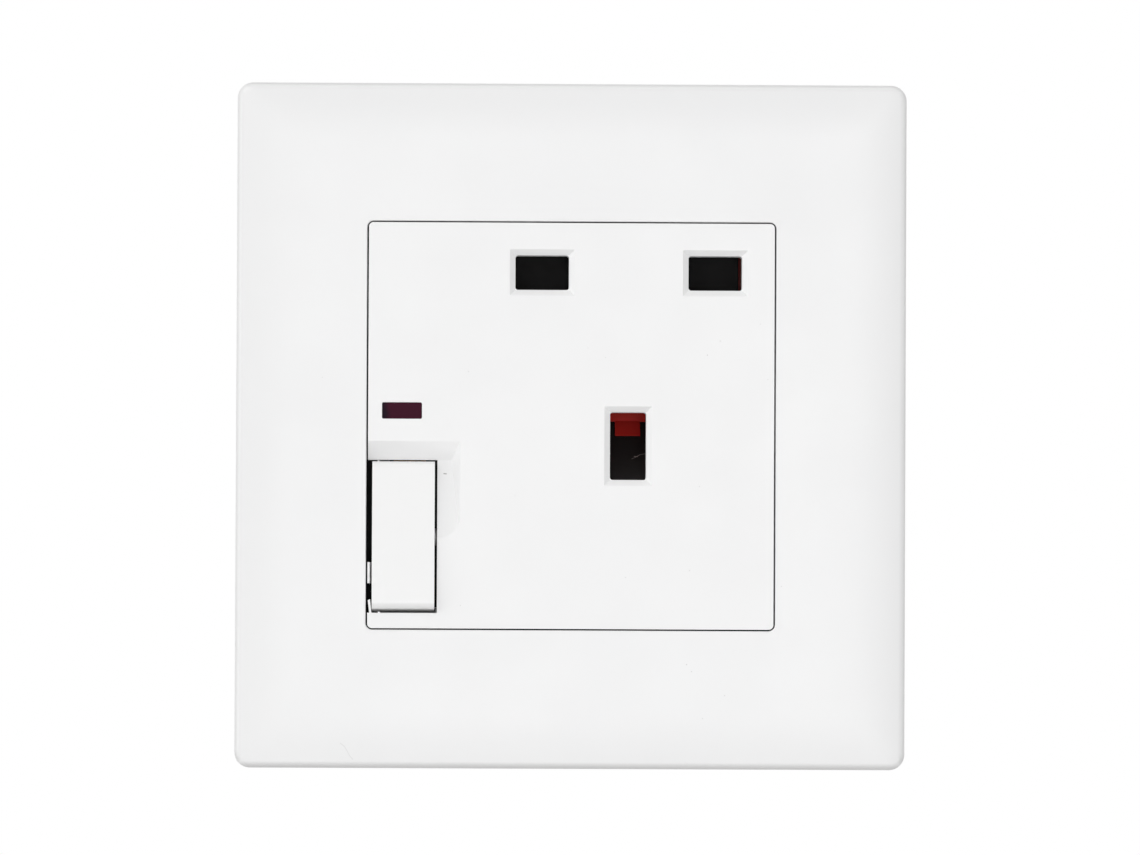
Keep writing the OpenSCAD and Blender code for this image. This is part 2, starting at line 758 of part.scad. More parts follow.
// Black front of the shutter: the flap over the line slots, two rails and the ramp's face
module shutter_blade() color("black") {
  rail_w = shutter_half - window_half;
  rail_x = window_half + rail_w / 2;
  foot_z = slide_foot_z + foot_t;
  along_y(blade_y, slide_y)
    translate([flap_x0, flap_z0]) square([flap_x1 - flap_x0, flap_z1 - flap_z0]);
  block(socket_x - shutter_half, socket_x + shutter_half, blade_y, slide_y, window_top, flap_z0 + over);
  for (s = [-1, 1]) {
    block(socket_x + s * rail_x - rail_w / 2, socket_x + s * rail_x + rail_w / 2,
      blade_y, slide_y, foot_z, window_top + over);
  }
  along_x(socket_x - window_half, socket_x + window_half) ramp_side([blade_y, ramp_z0], ramp_join_z);
  along_x(socket_x - window_half - over, socket_x + window_half + over) polygon([
    [blade_y, foot_z], [blade_y, ramp_z0], [slide_y, ramp_z0 + blade_t],
    [slide_y, foot_z]
  ]);
  for (x = [[socket_x - window_half, notch_x0], [notch_x1, socket_x + window_half]]) {
    along_x(x[0], x[1]) ramp_side([slide_y, ramp_z0 + blade_t], prong_z);
  }
}

// Red back of the shutter: a bar, a stem with a window for the earth pin, and the ramp's body
module shutter_slide() color("red") {
  cheek_w = shutter_half - window_half;
  slide_end = slide_y + slide_t;
  y_join = blade_y + ramp_join_z - ramp_z0;
  tie_t = 0.9;
  block(bar_x0, bar_x1, slide_y, slide_end, bar_z0, bar_z1);
  block(socket_x - shutter_half, socket_x + shutter_half, blade_y, slide_back,
    slide_foot_z, slide_foot_z + foot_t);
  block(socket_x - shutter_half, socket_x + shutter_half, slide_y, slide_end, window_top, bar_z0 + over);
  for (s = [-1, 1]) {
    x = socket_x + s * (window_half + cheek_w / 2);
    block(x - cheek_w / 2, x + cheek_w / 2, slide_y, slide_end, slide_foot_z, window_top + over);
    block(x - cheek_w / 2, x + cheek_w / 2, slide_y, slide_back, slide_foot_z, ramp_top_z + ramp_edge);
  }
  along_x(socket_x - window_half - over, socket_x + window_half + over) polygon([
    [slide_y, slide_foot_z], [slide_y, ramp_z0 + blade_t - ramp_t],
    [slide_back, ramp_top_z - ramp_t], [slide_back, slide_foot_z]
  ]);
  along_x(notch_x0, notch_x1) polygon([
    [slide_back, ramp_top_z], [y_join, ramp_join_z],
    [y_join + ramp_t / 2 + over, ramp_join_z - ramp_t / 2 - over],
    [slide_back, ramp_top_z - ramp_t - 2 * over]
  ]);
  block(socket_x - window_half - over, socket_x + window_half + over, slide_back - tie_t, slide_back,
    prong_z, ramp_top_z + ramp_edge);
  translate([socket_x, spring_y, slide_foot_z - spring_peg_l])
    cylinder(r = spring_peg_r, h = spring_peg_l + over);
}

module shutter_spring() color("silver") {
  translate([socket_x, spring_y, -body_in])
    coil_spring(shutter_spring_r, shutter_wire_r, slide_foot_z + body_in, 8);
}

// Places a piece that turns with the rocker: its own pivot is the origin
module at_rocker() {
  translate([0, pivot_y, rocker_z]) rotate([-rocker_tilt, 0, 0]) children();
}

// Side of the rocker's face, drawn in Y and Z: flat, with both ends rounded
module paddle_side() {
  front = -pivot_depth;
  translate([front, -rocker_l / 2 + paddle_end_r]) square([paddle_t, rocker_l - 2 * paddle_end_r]);
  translate([front + paddle_end_r, -rocker_l / 2]) square([paddle_t - paddle_end_r, rocker_l]);
  for (s = [-1, 1]) {
    translate([front + paddle_end_r, s * (rocker_l / 2 - paddle_end_r)]) circle(paddle_end_r);
  }
}

module rocker() color("white") at_rocker() {
  hub_half = 5.6;
  hub_y = 1.6;
  paddle_back = paddle_t - pivot_depth;
  difference() {
    union() {
      along_x(rocker_x0, rocker_x1) paddle_side();
      along_x(hub_x0, hub_x1) polygon([
        [paddle_back - over, -hub_half], [paddle_back - over, hub_half],
        [hub_y, tower_r], [hub_y, -tower_r]
      ]);
      translate([-half_body + 0.1, 0, 0]) rotate([0, 90, 0])
        cylinder(r = trunnion_r, h = opening_x1 + bearing_t + half_body - 0.2);
      rod_y(tower_x, 0, tower_r, 0, tower_l);
    }
    block(-half_body - bearing_gap, -half_body + bearing_t + bearing_gap,
      -bearing_r - bearing_gap, paddle_back + over, -bearing_r - 1, bearing_r + 1);
    rod_y(tower_x, 0, tower_bore_r, tower_floor, tower_l + over);
  }
}

module rocker_spring() color("silver") at_rocker() {
  translate([tower_x, tower_floor, 0]) rotate([-90, 0, 0])
    coil_spring(tower_bore_r - 0.35, rocker_wire_r, spring_l, 6);
}

module rocker_plunger() color("ivory") at_rocker() {
  start = tower_floor + spring_l;
  neck = ball_at - 2.2;
  rod_y(tower_x, 0, plunger_r, start, neck);
  rod_y(tower_x, 0, ball_r, neck - over, ball_at);
  translate([tower_x, ball_at, 0]) sphere(ball_r);
}

// Places a piece of the see-saw: the knife edge that it rocks on is the origin
module at_seesaw() {
  translate([tower_x, fulcrum_y, rocker_z]) rotate([seesaw_angle, 0, 0]) children();
}
function arm_point(s, u, w) =
  [-u * sin(seesaw_angle) - w * cos(seesaw_angle), s * (u * cos(seesaw_angle) - w * sin(seesaw_angle))];

// Strip bent to a shallow V, with a groove for the knife and a notch for each ear
module moving_contact() color("peru") at_seesaw() {
  notch_x = ear_x - 0.1;
  difference() {
    along_x(-seesaw_w / 2, seesaw_w / 2) polygon([
      arm_point(-1, seesaw_half, 0), [0, 0], arm_point(1, seesaw_half, 0),
      arm_point(1, seesaw_half, strip_t), [-strip_t / cos(seesaw_angle), 0],
      arm_point(-1, seesaw_half, strip_t)
    ]);
    translate([-seesaw_w / 2 - over, 0, 0]) rotate([0, 90, 0])
      cylinder(r = knife_r + knife_gap, h = seesaw_w + 2 * over);
    for (s = [-1, 1]) {
      block(s > 0 ? notch_x : -seesaw_w / 2 - over, s > 0 ? seesaw_w / 2 + over : -notch_x,
        -2, 1, -2 * ear_z, 2 * ear_z);
    }
  }
}

module moving_contact_tip() color("silver")
  rod_y(tower_x, rocker_z - tip_at, tip_r, fulcrum_y, fulcrum_y + tip_t);

module fixed_contact_tip() color("silver")
  rod_y(tower_x, rocker_z - tip_at, tip_r, fulcrum_y + tip_t + tip_gap, strip_y);

// Strip from the switch to the live terminal
module fixed_contact() color("peru")
  block(tower_x - tip_r - tip_edge, live_block_x + block_w / 2 - seat_gap, strip_y, block_y,
    -base_in + seat_gap, fixed_z1);

// Strip that joins the live contact to the see-saw, with the knife edge and its two ears
module common_strip() color("peru") {
  y0 = strip_y + strip_t;
  y1 = y0 + strip_t;
  knife_x = 0.9;
  knife_z = 0.5;
  knife_y = fulcrum_y + 0.6;
  foot_z = 0.9;
  along_y(y0, y1) union() {
    translate([live_x - clip_w / 2, common_z0]) square([clip_w, row_z + 2.8 - common_z0]);
    translate([tower_x - common_half, common_z0]) square([live_x - tower_x, common_z1 - common_z0]);
    translate([tower_x - common_half, rocker_z - foot_z])
      square([2 * common_half, common_z1 - rocker_z + foot_z]);
  }
  along_x(tower_x - knife_x, tower_x + knife_x) union() {
    polygon([
      [y0 + over, rocker_z - knife_z], [knife_y, rocker_z - knife_z],
      [fulcrum_y, rocker_z - knife_r], [fulcrum_y, rocker_z + knife_r],
      [knife_y, rocker_z + knife_z], [y0 + over, rocker_z + knife_z]
    ]);
    translate([fulcrum_y, rocker_z]) circle(knife_r);
  }
  for (s = [-1, 1]) {
    block(tower_x + s * (ear_x + ear_t / 2) - ear_t / 2, tower_x + s * (ear_x + ear_t / 2) + ear_t / 2,
      fulcrum_y - 1.6, y0 + over, rocker_z - ear_z, rocker_z + ear_z);
  }
}

// Side of a contact, drawn in Y and Z: a folded strip whose two leaves grip a pin
module clip_side(front, back) {
  bend = front + 1.3;
  half = leaf_gap / 2;
  mouth = half + 0.7;
  polygon([
    [front, mouth], [bend, half], [back, half], [back, -half], [bend, -half], [front, -mouth],
    [front, -mouth - leaf_t], [bend, -half - leaf_t], [back + strip_t, -half - leaf_t],
    [back + strip_t, half + leaf_t], [bend, half + leaf_t], [front, mouth + leaf_t]
  ]);
}

module line_contact(x) {
  along_x(x - clip_w / 2, x + clip_w / 2)
    translate([0, row_z]) clip_side(retainer_back + 0.3, strip_y);
}

module live_contact() color("peru") line_contact(live_x);

module neutral_contact() color("peru") {
  line_contact(neutral_x);
  block(neutral_x - clip_w / 2, neutral_x + clip_w / 2, strip_y, block_y, row_z - 5, row_z);
}

// Contact for the earth pin, whose tail steps forward to its terminal block
module earth_contact() color("peru") {
  bend_z1 = earth_bend_z + strip_t;
  tail_lap = 4.5;
  tail_z = block_d - base_in - tail_lap;
  top_z = earth_z + earth_clip_w / 2;
  translate([socket_x, 0, earth_z]) rotate([0, 90, 0])
    along_x(-earth_clip_w / 2, earth_clip_w / 2) clip_side(slide_back + 0.5, earth_base_y);
  block(socket_x - tail_half, socket_x + tail_half, earth_base_y, earth_base_y + strip_t,
    earth_bend_z, top_z);
  block(socket_x - tail_half, socket_x + tail_half, strip_y, earth_base_y + strip_t,
    earth_bend_z, bend_z1);
  block(socket_x - tail_half, socket_x + tail_half, strip_y, block_y, tail_z, bend_z1);
}

// Terminal block with its mouth at Z = 0 and its wire hole below
module terminal_block() {
  difference() {
    block(-block_w / 2, block_w / 2, block_y, floor_y, -block_d, 0);
    translate([0, wire_y, -block_d - over]) cylinder(r = wire_r, h = block_d + 2 * over);
    rod_y(0, -block_d / 2, clamp_screw_r + screw_gap, wire_y, floor_y + over);
  }
}

// Terminal screw on the same origin, backed off so that the wire hole is open
module terminal_screw() {
  head_r = 3.2;
  head_l = 2.2;
  head_y = floor_y + 0.3;
  slot_d = 1.1;
  slot_half = 0.5;
  difference() {
    union() {
      rod_y(0, -block_d / 2, clamp_screw_r, wire_y + wire_r + 0.1, head_y + over);
      rod_y(0, -block_d / 2, head_r, head_y, head_y + head_l);
    }
    block(-head_r - over, head_r + over, head_y + head_l - slot_d, head_y + head_l + over,
      -block_d / 2 - slot_half, -block_d / 2 + slot_half);
  }
}

module at_terminal(i) {
  translate([block_places[i][0], 0, block_places[i][1] * base_in])
    mirror([0, 0, block_places[i][1] < 0 ? 1 : 0]) children();
}

module live_terminal_block() color("goldenrod") at_terminal(0) terminal_block();
module neutral_terminal_block() color("goldenrod") at_terminal(1) terminal_block();
module earth_terminal_block() color("goldenrod") at_terminal(2) terminal_block();
module live_terminal_screw() color("silver") at_terminal(0) terminal_screw();
module neutral_terminal_screw() color("silver") at_terminal(1) terminal_screw();
module earth_terminal_screw() color("silver") at_terminal(2) terminal_screw();

module neon_lens() color("darkred") {
  translate([lens_x, 0, lens_z]) {
    along_y(face_y, face_back + over) round_rect(lens_w - 2 * lens_gap, lens_h - 2 * lens_gap, 0.17);
    block(-lens_w / 2 - lens_rim, lens_w / 2 + lens_rim, face_back + screw_gap, face_back + lens_pad_t,
      -lens_h / 2 - lens_rim, lens_h / 2 + lens_rim);
  }
}

module neon_lamp() color("lightgray") {
  translate([lamp_x, lamp_y, lamp_z0 + lamp_r]) {
    sphere(lamp_r);
    cylinder(r = lamp_r, h = lamp_l - lamp_r);
  }
}

module neon_resistor() color("tan") {
  translate([lamp_x, resistor_y, lamp_z0]) cylinder(r = resistor_r, h = resistor_l);
}

// Three leads: lamp to resistor, resistor to the switched strip, and lamp to neutral
module neon_leads() color("gray") {
  top = lamp_z0 + lamp_l;
  left = lamp_x - lead_pitch / 2;
  right = lamp_x + lead_pitch / 2;
  low = lamp_z0 - 1.8;
  run_y = seam_y + 3.6;
  run_z = top + 1.2;
  up = [0.31, 0.17, 0.93];
  sweep([
    [left, lamp_y, top - 0.02], [left, lamp_y, top + 0.7],
    [left, lamp_y + 1, top + 1.4], [left, resistor_y - 1, top + 1.4],
    [left, resistor_y, top + 0.6], [left + lead_pitch / 4, resistor_y, lamp_z0 + resistor_l + 1.3],
    [lamp_x, resistor_y, lamp_z0 + resistor_l - 0.02]
  ], lead_r, 8, up);
  sweep([
    [lamp_x, resistor_y, lamp_z0 + 0.02], [lamp_x, resistor_y, lamp_z0 - 0.9],
    [lamp_x + 0.3, resistor_y + 0.9, low], [lamp_x + 0.3, block_y - 0.02, low]
  ], lead_r, 8, up);
  sweep([
    [right, lamp_y, top - 0.02], [right, lamp_y, top + 0.5],
    [right, lamp_y + 1.2, run_z], [right, run_y - 1.2, run_z],
    [right + 1.2, run_y, run_z], [neutral_x - 5, run_y, run_z],
    [neutral_x - 3.4, run_y + 0.8, row_z - 5.2], [neutral_x - 2.3, strip_y - 0.8, row_z - 4.4],
    [neutral_x - 2.2, strip_y - 0.02, row_z - 4.2]
  ], lead_r, 8, up);
}

// Screws that hold the base to the cover, driven from the back
module assembly_screws() color("silver") {
  head_r = 2.5;
  head_l = 1.7;
  seat_y = rear_y - well_d;
  end_y = seam_y - 7.4;
  cross_half = 1.6;
  cross_t = 0.35;
  cross_y = seat_y + 0.7;
  cross_end = seat_y + head_l + over;
  for (p = assembly_places) {
    difference() {
      union() {
        rod_y(p[0], p[1], pilot_r - screw_gap, end_y, seat_y + over);
        rod_y(p[0], p[1], head_r, seat_y, seat_y + head_l);
      }
      block(p[0] - cross_half, p[0] + cross_half, cross_y, cross_end, p[1] - cross_t, p[1] + cross_t);
      block(p[0] - cross_t, p[0] + cross_t, cross_y, cross_end, p[1] - cross_half, p[1] + cross_half);
    }
  }
}

// Small screws that hold the shutter's retainer to the cover
module retainer_screws() color("silver") {
  head_r = 1.9;
  head_l = 1.1;
  for (p = retainer_places) {
    rod_y(p[0], p[1], retainer_pilot_r - screw_gap, face_back + 0.6, retainer_back + over);
    rod_y(p[0], p[1], head_r, retainer_back, retainer_back + head_l);
  }
}

surround_plate();
mounting_frame();
socket_cover();
rear_base();
shutter_retainer();
shutter_blade();
shutter_slide();
shutter_spring();
rocker();
rocker_spring();
rocker_plunger();
moving_contact();
moving_contact_tip();
fixed_contact();
fixed_contact_tip();
common_strip();
live_contact();
neutral_contact();
earth_contact();
live_terminal_block();
neutral_terminal_block();
earth_terminal_block();
live_terminal_screw();
neutral_terminal_screw();
earth_terminal_screw();
neon_lens();
neon_lamp();
neon_resistor();
neon_leads();
assembly_screws();
retainer_screws();
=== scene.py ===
# %% [markdown]
# # A switched wall socket
#
# The object is a square socket with a clip-on surround, three shuttered pin slots, a
# rocker switch and a small neon lens. The engineering model already holds every piece at
# its real size. This lesson gives each piece the edges, the surface and the light that a
# product photograph shows, and it never moves or resizes a piece.

# %% Load the frame
import json
import math

import bmesh
import bpy
from mathutils import Matrix, Vector


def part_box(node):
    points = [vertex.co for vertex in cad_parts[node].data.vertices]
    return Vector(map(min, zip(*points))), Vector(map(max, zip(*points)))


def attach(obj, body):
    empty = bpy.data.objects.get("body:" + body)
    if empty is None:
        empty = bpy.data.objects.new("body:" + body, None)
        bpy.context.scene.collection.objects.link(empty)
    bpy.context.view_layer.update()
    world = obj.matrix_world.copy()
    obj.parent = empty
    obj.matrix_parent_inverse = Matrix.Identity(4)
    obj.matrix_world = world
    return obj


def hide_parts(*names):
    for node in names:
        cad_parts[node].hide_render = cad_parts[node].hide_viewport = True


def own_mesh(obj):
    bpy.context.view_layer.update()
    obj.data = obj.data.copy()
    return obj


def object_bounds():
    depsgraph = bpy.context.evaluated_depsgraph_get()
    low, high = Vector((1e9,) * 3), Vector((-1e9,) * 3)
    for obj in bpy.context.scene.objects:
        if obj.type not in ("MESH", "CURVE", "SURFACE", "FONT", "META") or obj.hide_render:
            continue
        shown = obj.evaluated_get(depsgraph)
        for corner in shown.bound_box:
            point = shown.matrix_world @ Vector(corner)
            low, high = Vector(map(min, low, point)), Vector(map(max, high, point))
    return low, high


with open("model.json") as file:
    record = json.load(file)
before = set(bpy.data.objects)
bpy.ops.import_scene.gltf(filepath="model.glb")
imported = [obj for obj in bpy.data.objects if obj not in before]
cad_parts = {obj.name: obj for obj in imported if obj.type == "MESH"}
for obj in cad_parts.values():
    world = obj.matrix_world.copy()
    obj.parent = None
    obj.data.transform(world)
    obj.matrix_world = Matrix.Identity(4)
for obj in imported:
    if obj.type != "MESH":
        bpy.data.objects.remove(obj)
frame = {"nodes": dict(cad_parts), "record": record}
cad_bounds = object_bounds()
MM = 0.001
print("nodes in the frame:", len(frame["nodes"]))

# %% [markdown]
# ## The camera
#
# The photograph was taken from about a metre away with a long lens, almost straight on
# but a little from below and from the left, and it leans by a quarter of a degree. The
# pins of such a plug stand 22.23 mm apart, which gives the scale of the picture. We place
# the camera by that scale, so that every edge lands on its own pixel.

# %% Camera
PHOTO_W = 1140
PHOTO_H = 855
PX_PER_MM = 7.795
INSERT_CENTRE_PX = (570.67, 425.38)
HALF_PIXEL = 0.5
CAMERA_DISTANCE = 1200 * MM
FROM_LEFT = math.radians(0.9)
FROM_BELOW = math.radians(1.4)
LEAN = math.radians(0.257)
SENSOR = 36

face_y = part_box("socket_cover")[0][1]
aim = Vector((
    (PHOTO_W / 2 - HALF_PIXEL - INSERT_CENTRE_PX[0]) / PX_PER_MM * MM,
    face_y,
    (INSERT_CENTRE_PX[1] + HALF_PIXEL - PHOTO_H / 2) / PX_PER_MM * MM,
))
towards_camera = Vector((
    -math.sin(FROM_LEFT) * math.cos(FROM_BELOW),
    -math.cos(FROM_LEFT) * math.cos(FROM_BELOW),
    -math.sin(FROM_BELOW),
))
camera_data = bpy.data.cameras.new("product camera")
camera_data.sensor_width = SENSOR
camera_data.lens = SENSOR * CAMERA_DISTANCE / (PHOTO_W / PX_PER_MM * MM)
camera = bpy.data.objects.new("product camera", camera_data)
bpy.context.collection.objects.link(camera)
turn = towards_camera.to_track_quat("Z", "Y").to_matrix().to_4x4()
camera.matrix_world = (
    Matrix.Translation(aim + CAMERA_DISTANCE * towards_camera)
    @ turn
    @ Matrix.Rotation(LEAN, 4, "Z")
)
bpy.context.scene.camera = camera


def from_photo(px, py):
    """Where a point of the photograph lies on the face: its X and Z in metres."""
    right = (px - INSERT_CENTRE_PX[0]) / PX_PER_MM * MM
    up = (INSERT_CENTRE_PX[1] - py) / PX_PER_MM * MM
    return (
        right * math.cos(LEAN) - up * math.sin(LEAN),
        right * math.sin(LEAN) + up * math.cos(LEAN),
    )


print(f"lens {camera_data.lens:.0f} mm, camera at {tuple(round(c, 3) for c in camera.location)}")

# %% [markdown]
# ## The white studio
#
# The background of the photograph is pure white, yet the white plastic in front of it
# keeps its soft shading. The trick is to show a white world to rays from the camera and
# to mirror and glass rays, while the surfaces are lit by a dimmer one. The pale floor
# lies well below, where it gives a soft bounce, and its paper glows a little for the
# same rays, so that it stays pale in a view from above and still takes the shadow.

# %% World
AMBIENT = 0.45

scene = bpy.context.scene
scene.view_settings.view_transform = "Standard"
world = bpy.data.worlds.new("white studio")
scene.world = world
world.use_nodes = True
sky = world.node_tree
sky.nodes.clear()


def seen_directly(tree):
    """1 for rays from the camera and for mirror and glass rays, 0 for the light that falls on things."""
    ray = tree.nodes.new("ShaderNodeLightPath")
    seen = ray.outputs["Is Camera Ray"]
    for other in ("Is Glossy Ray", "Is Transmission Ray"):
        either = tree.nodes.new("ShaderNodeMath")
        either.operation = "MAXIMUM"
        tree.links.new(seen, either.inputs[0])
        tree.links.new(ray.outputs[other], either.inputs[1])
        seen = either.outputs[0]
    return seen


blend = sky.nodes.new("ShaderNodeMixShader")
sky.links.new(seen_directly(sky), blend.inputs[0])
for socket, strength in zip(blend.inputs[1:], (AMBIENT, 1)):
    background = sky.nodes.new("ShaderNodeBackground")
    background.inputs["Color"].default_value = (1, 1, 1, 1)
    background.inputs["Strength"].default_value = strength
    sky.links.new(background.outputs[0], socket)
sky_out = sky.nodes.new("ShaderNodeOutputWorld")
sky.links.new(blend.outputs[0], sky_out.inputs["Surface"])
print("world strength for the surfaces:", AMBIENT)

# %% Floor
FLOOR_DROP = 450 * MM
FLOOR_HALF = 2.5
FLOOR_GLOW = 0.42

floor_mesh = bpy.data.meshes.new("studio floor")
floor_z = cad_bounds[0][2] - FLOOR_DROP
floor_mesh.from_pydata(
    [(x * FLOOR_HALF, y * FLOOR_HALF, floor_z) for x, y in ((-1, -1), (1, -1), (1, 1), (-1, 1))],
    [],
    [(0, 1, 2, 3)],
)
studio_floor = bpy.data.objects.new("studio_floor", floor_mesh)
bpy.context.collection.objects.link(studio_floor)
floor_paint = bpy.data.materials.new("floor paper")
floor_paint.use_nodes = True
paper_tree = floor_paint.node_tree
paper = paper_tree.nodes["Principled BSDF"]
paper.inputs["Base Color"].default_value = (0.86, 0.86, 0.86, 1)
paper.inputs["Roughness"].default_value = 0.9
paper.inputs["Emission Color"].default_value = (1, 1, 1, 1)
glow = paper_tree.nodes.new("ShaderNodeMath")
glow.operation = "MULTIPLY"
glow.inputs[1].default_value = FLOOR_GLOW
paper_tree.links.new(seen_directly(paper_tree), glow.inputs[0])
paper_tree.links.new(glow.outputs[0], paper.inputs["Emission Strength"])
studio_floor.data.materials.append(floor_paint)
print(f"floor at {floor_z / MM:.0f} mm")

# %% [markdown]
# ## The lamps
#
# Two softboxes beside the lens give the flat face its even white. A larger one stands
# high on the left, and strips at the left, the top and the right model the round edges:
# the left edge is the brightest and the bottom edge the darkest, also darkened by the painted shade on the plate's
# rim.
# A weak one from below keeps the finger recess open.

# %% Lamps
LAMPS = {
    "front softbox": ((-0.02, -1.45, 0.0), 0.5, 1.5),
    "front right softbox": ((0.22, -1.43, -0.03), 0.5, 1.4),
    "high left softbox": ((-0.85, -0.95, 0.85), 0.6, 4.2),
    "top strip": ((0.0, -0.45, 1.2), 0.7, 2.0),
    "left strip": ((-1.2, -0.45, 0.0), 0.7, 2.7),
    "right strip": ((1.2, -0.45, 0.0), 0.7, 1.5),
    "low fill": ((0.0, -0.7, -0.33), 0.25, 0.3),
}


def softbox(name, place, size, watts):
    """A square area lamp that faces the middle of the socket."""
    lamp = bpy.data.lights.new(name, "AREA")
    lamp.shape = "SQUARE"
    lamp.size = size
    lamp.energy = watts
    holder = bpy.data.objects.new(name, lamp)
    bpy.context.collection.objects.link(holder)
    holder.matrix_world = (
        Matrix.Translation(place) @ Vector(place).to_track_quat("Z", "Y").to_matrix().to_4x4()
    )
    return holder


for lamp_name, (place, size, watts) in LAMPS.items():
    softbox(lamp_name, place, size, watts)
print("lamps:", ", ".join(LAMPS))

# %% [markdown]
# ## Helpers for the finishes
#
# Every finish is a Principled shader whose colour, roughness and bump come from noise in
# the piece's own coordinates. Values that are the same all over stay on the shader's own
# sockets. A scale of 1000 in these coordinates is a pattern a millimetre wide.


# %% Finish helpers
def finish(name, roughness, **sockets):
    """A new node material; returns it with its tree, its shader and its coordinates."""
    material = bpy.data.materials.new(name)
    material.use_nodes = True
    tree = material.node_tree
    shader = tree.nodes["Principled BSDF"]
    shader.inputs["Roughness"].default_value = roughness
    for socket, value in sockets.items():
        shader.inputs[socket.replace("_", " ")].default_value = value
    place = tree.nodes.new("ShaderNodeTexCoord").outputs["Object"]
    return material, tree, shader, place


def noise(tree, place, scale, detail=3, stretch=None):
    """Noise in the piece's coordinates, stretched along the axes if asked."""
    if stretch:
        mapping = tree.nodes.new("ShaderNodeMapping")
        mapping.inputs["Scale"].default_value = stretch
        tree.links.new(place, mapping.inputs["Vector"])
        place = mapping.outputs["Vector"]
    grain = tree.nodes.new("ShaderNodeTexNoise")
    grain.inputs["Scale"].default_value = scale
    grain.inputs["Detail"].default_value = detail
    tree.links.new(place, grain.inputs["Vector"])
    return grain.outputs["Fac"]


def spread(tree, value, low, high, socket, start=0.3, end=0.7):
    """Maps a noise value to a range of a shader's input."""
    ramp = tree.nodes.new("ShaderNodeMapRange")
    ramp.inputs["From Min"].default_value = start
    ramp.inputs["From Max"].default_value = end
    ramp.inputs["To Min"].default_value = low
    ramp.inputs["To Max"].default_value = high
    tree.links.new(value, ramp.inputs["Value"])
    tree.links.new(ramp.outputs["Result"], socket)


def tint(tree, value, first, second, socket, start=0.3, end=0.7):
    """Blends two colours by a value and sends the result to a socket."""
    ramp = tree.nodes.new("ShaderNodeValToRGB")
    ramp.color_ramp.elements[0].position = start
    ramp.color_ramp.elements[0].color = (*first, 1)
    ramp.color_ramp.elements[1].position = end
    ramp.color_ramp.elements[1].color = (*second, 1)
    tree.links.new(value, ramp.inputs["Fac"])
    tree.links.new(ramp.outputs["Color"], socket)


def drift(tree, place, axis, start, end, cloud_scale, unevenness):
    """Runs from 0 to 1 between two places along an axis, made uneven by noise."""
    split = tree.nodes.new("ShaderNodeSeparateXYZ")
    tree.links.new(place, split.inputs[0])
    share = tree.nodes.new("ShaderNodeMapRange")
    share.inputs["From Min"].default_value = start
    share.inputs["From Max"].default_value = end
    tree.links.new(split.outputs[axis], share.inputs["Value"])
    uneven = tree.nodes.new("ShaderNodeMath")
    uneven.operation = "MULTIPLY_ADD"
    uneven.inputs[1].default_value = unevenness
    tree.links.new(noise(tree, place, cloud_scale), uneven.inputs[0])
    tree.links.new(share.outputs["Result"], uneven.inputs[2])
    return uneven.outputs[0]


def relief(tree, value, depth, strength, shader):
    """Raises the surface by a value, as a bump of the given depth."""
    bump = tree.nodes.new("ShaderNodeBump")
    bump.inputs["Strength"].default_value = strength
    bump.inputs["Distance"].default_value = depth
    tree.links.new(value, bump.inputs["Height"])
    tree.links.new(bump.outputs["Normal"], shader.inputs["Normal"])


# %% [markdown]
# ## Marks of handling
#
# The socket isn't spotless: a few specks of dust cling to the face, the
# plate has a hairline scratch near its lower left corner, and a fibre lies in the earth
# slot. The rocker's pin, where it shows in the gap beside the rocker, gets a painted shade.
# Each mark is a short line or a dot on the face. The shader measures how far a point
# lies from it, looking along the depth, and darkens or lightens what is near.


# %% Mark helpers
def vector_step(tree, operation, *values):
    """One step of vector arithmetic; plain tuples and numbers are set, links are joined."""
    node = tree.nodes.new("ShaderNodeVectorMath")
    node.operation = operation
    for socket, value in zip(node.inputs, values):
        if isinstance(value, bpy.types.NodeSocket):
            tree.links.new(value, socket)
        else:
            socket.default_value = value
    return node


def mark_strength(tree, place, marks):
    """How strongly a point is marked; a mark is (start, end, half width, strength)."""
    flat = vector_step(tree, "MULTIPLY", place, (1, 0, 1)).outputs["Vector"]
    total = None
    for start, end, half_width, strength in marks:
        start_x, start_z = from_photo(*start)
        end_x, end_z = from_photo(*end)
        from_start = vector_step(tree, "SUBTRACT", flat, (start_x, 0, start_z)).outputs["Vector"]
        run = Vector((end_x - start_x, 0, end_z - start_z))
        if run.length > 0:
            along = vector_step(tree, "DOT_PRODUCT", from_start, tuple(run / run.length_squared))
            share = tree.nodes.new("ShaderNodeClamp")
            tree.links.new(along.outputs["Value"], share.inputs["Value"])
            nearest = vector_step(tree, "SCALE", tuple(run))
            tree.links.new(share.outputs["Result"], nearest.inputs["Scale"])
            from_start = vector_step(tree, "SUBTRACT", from_start, nearest.outputs["Vector"]).outputs["Vector"]
        distance = vector_step(tree, "LENGTH", from_start).outputs["Value"]
        shade = tree.nodes.new("ShaderNodeMapRange")
        shade.interpolation_type = "SMOOTHSTEP"
        shade.inputs["From Min"].default_value = 0
        shade.inputs["From Max"].default_value = half_width * MM
        shade.inputs["To Min"].default_value = strength
        shade.inputs["To Max"].default_value = 0
        tree.links.new(distance, shade.inputs["Value"])
        if total is None:
            total = shade.outputs["Result"]
        else:
            larger = tree.nodes.new("ShaderNodeMath")
            larger.operation = "MAXIMUM"
            tree.links.new(total, larger.inputs[0])
            tree.links.new(shade.outputs["Result"], larger.inputs[1])
            total = larger.outputs[0]
    return total


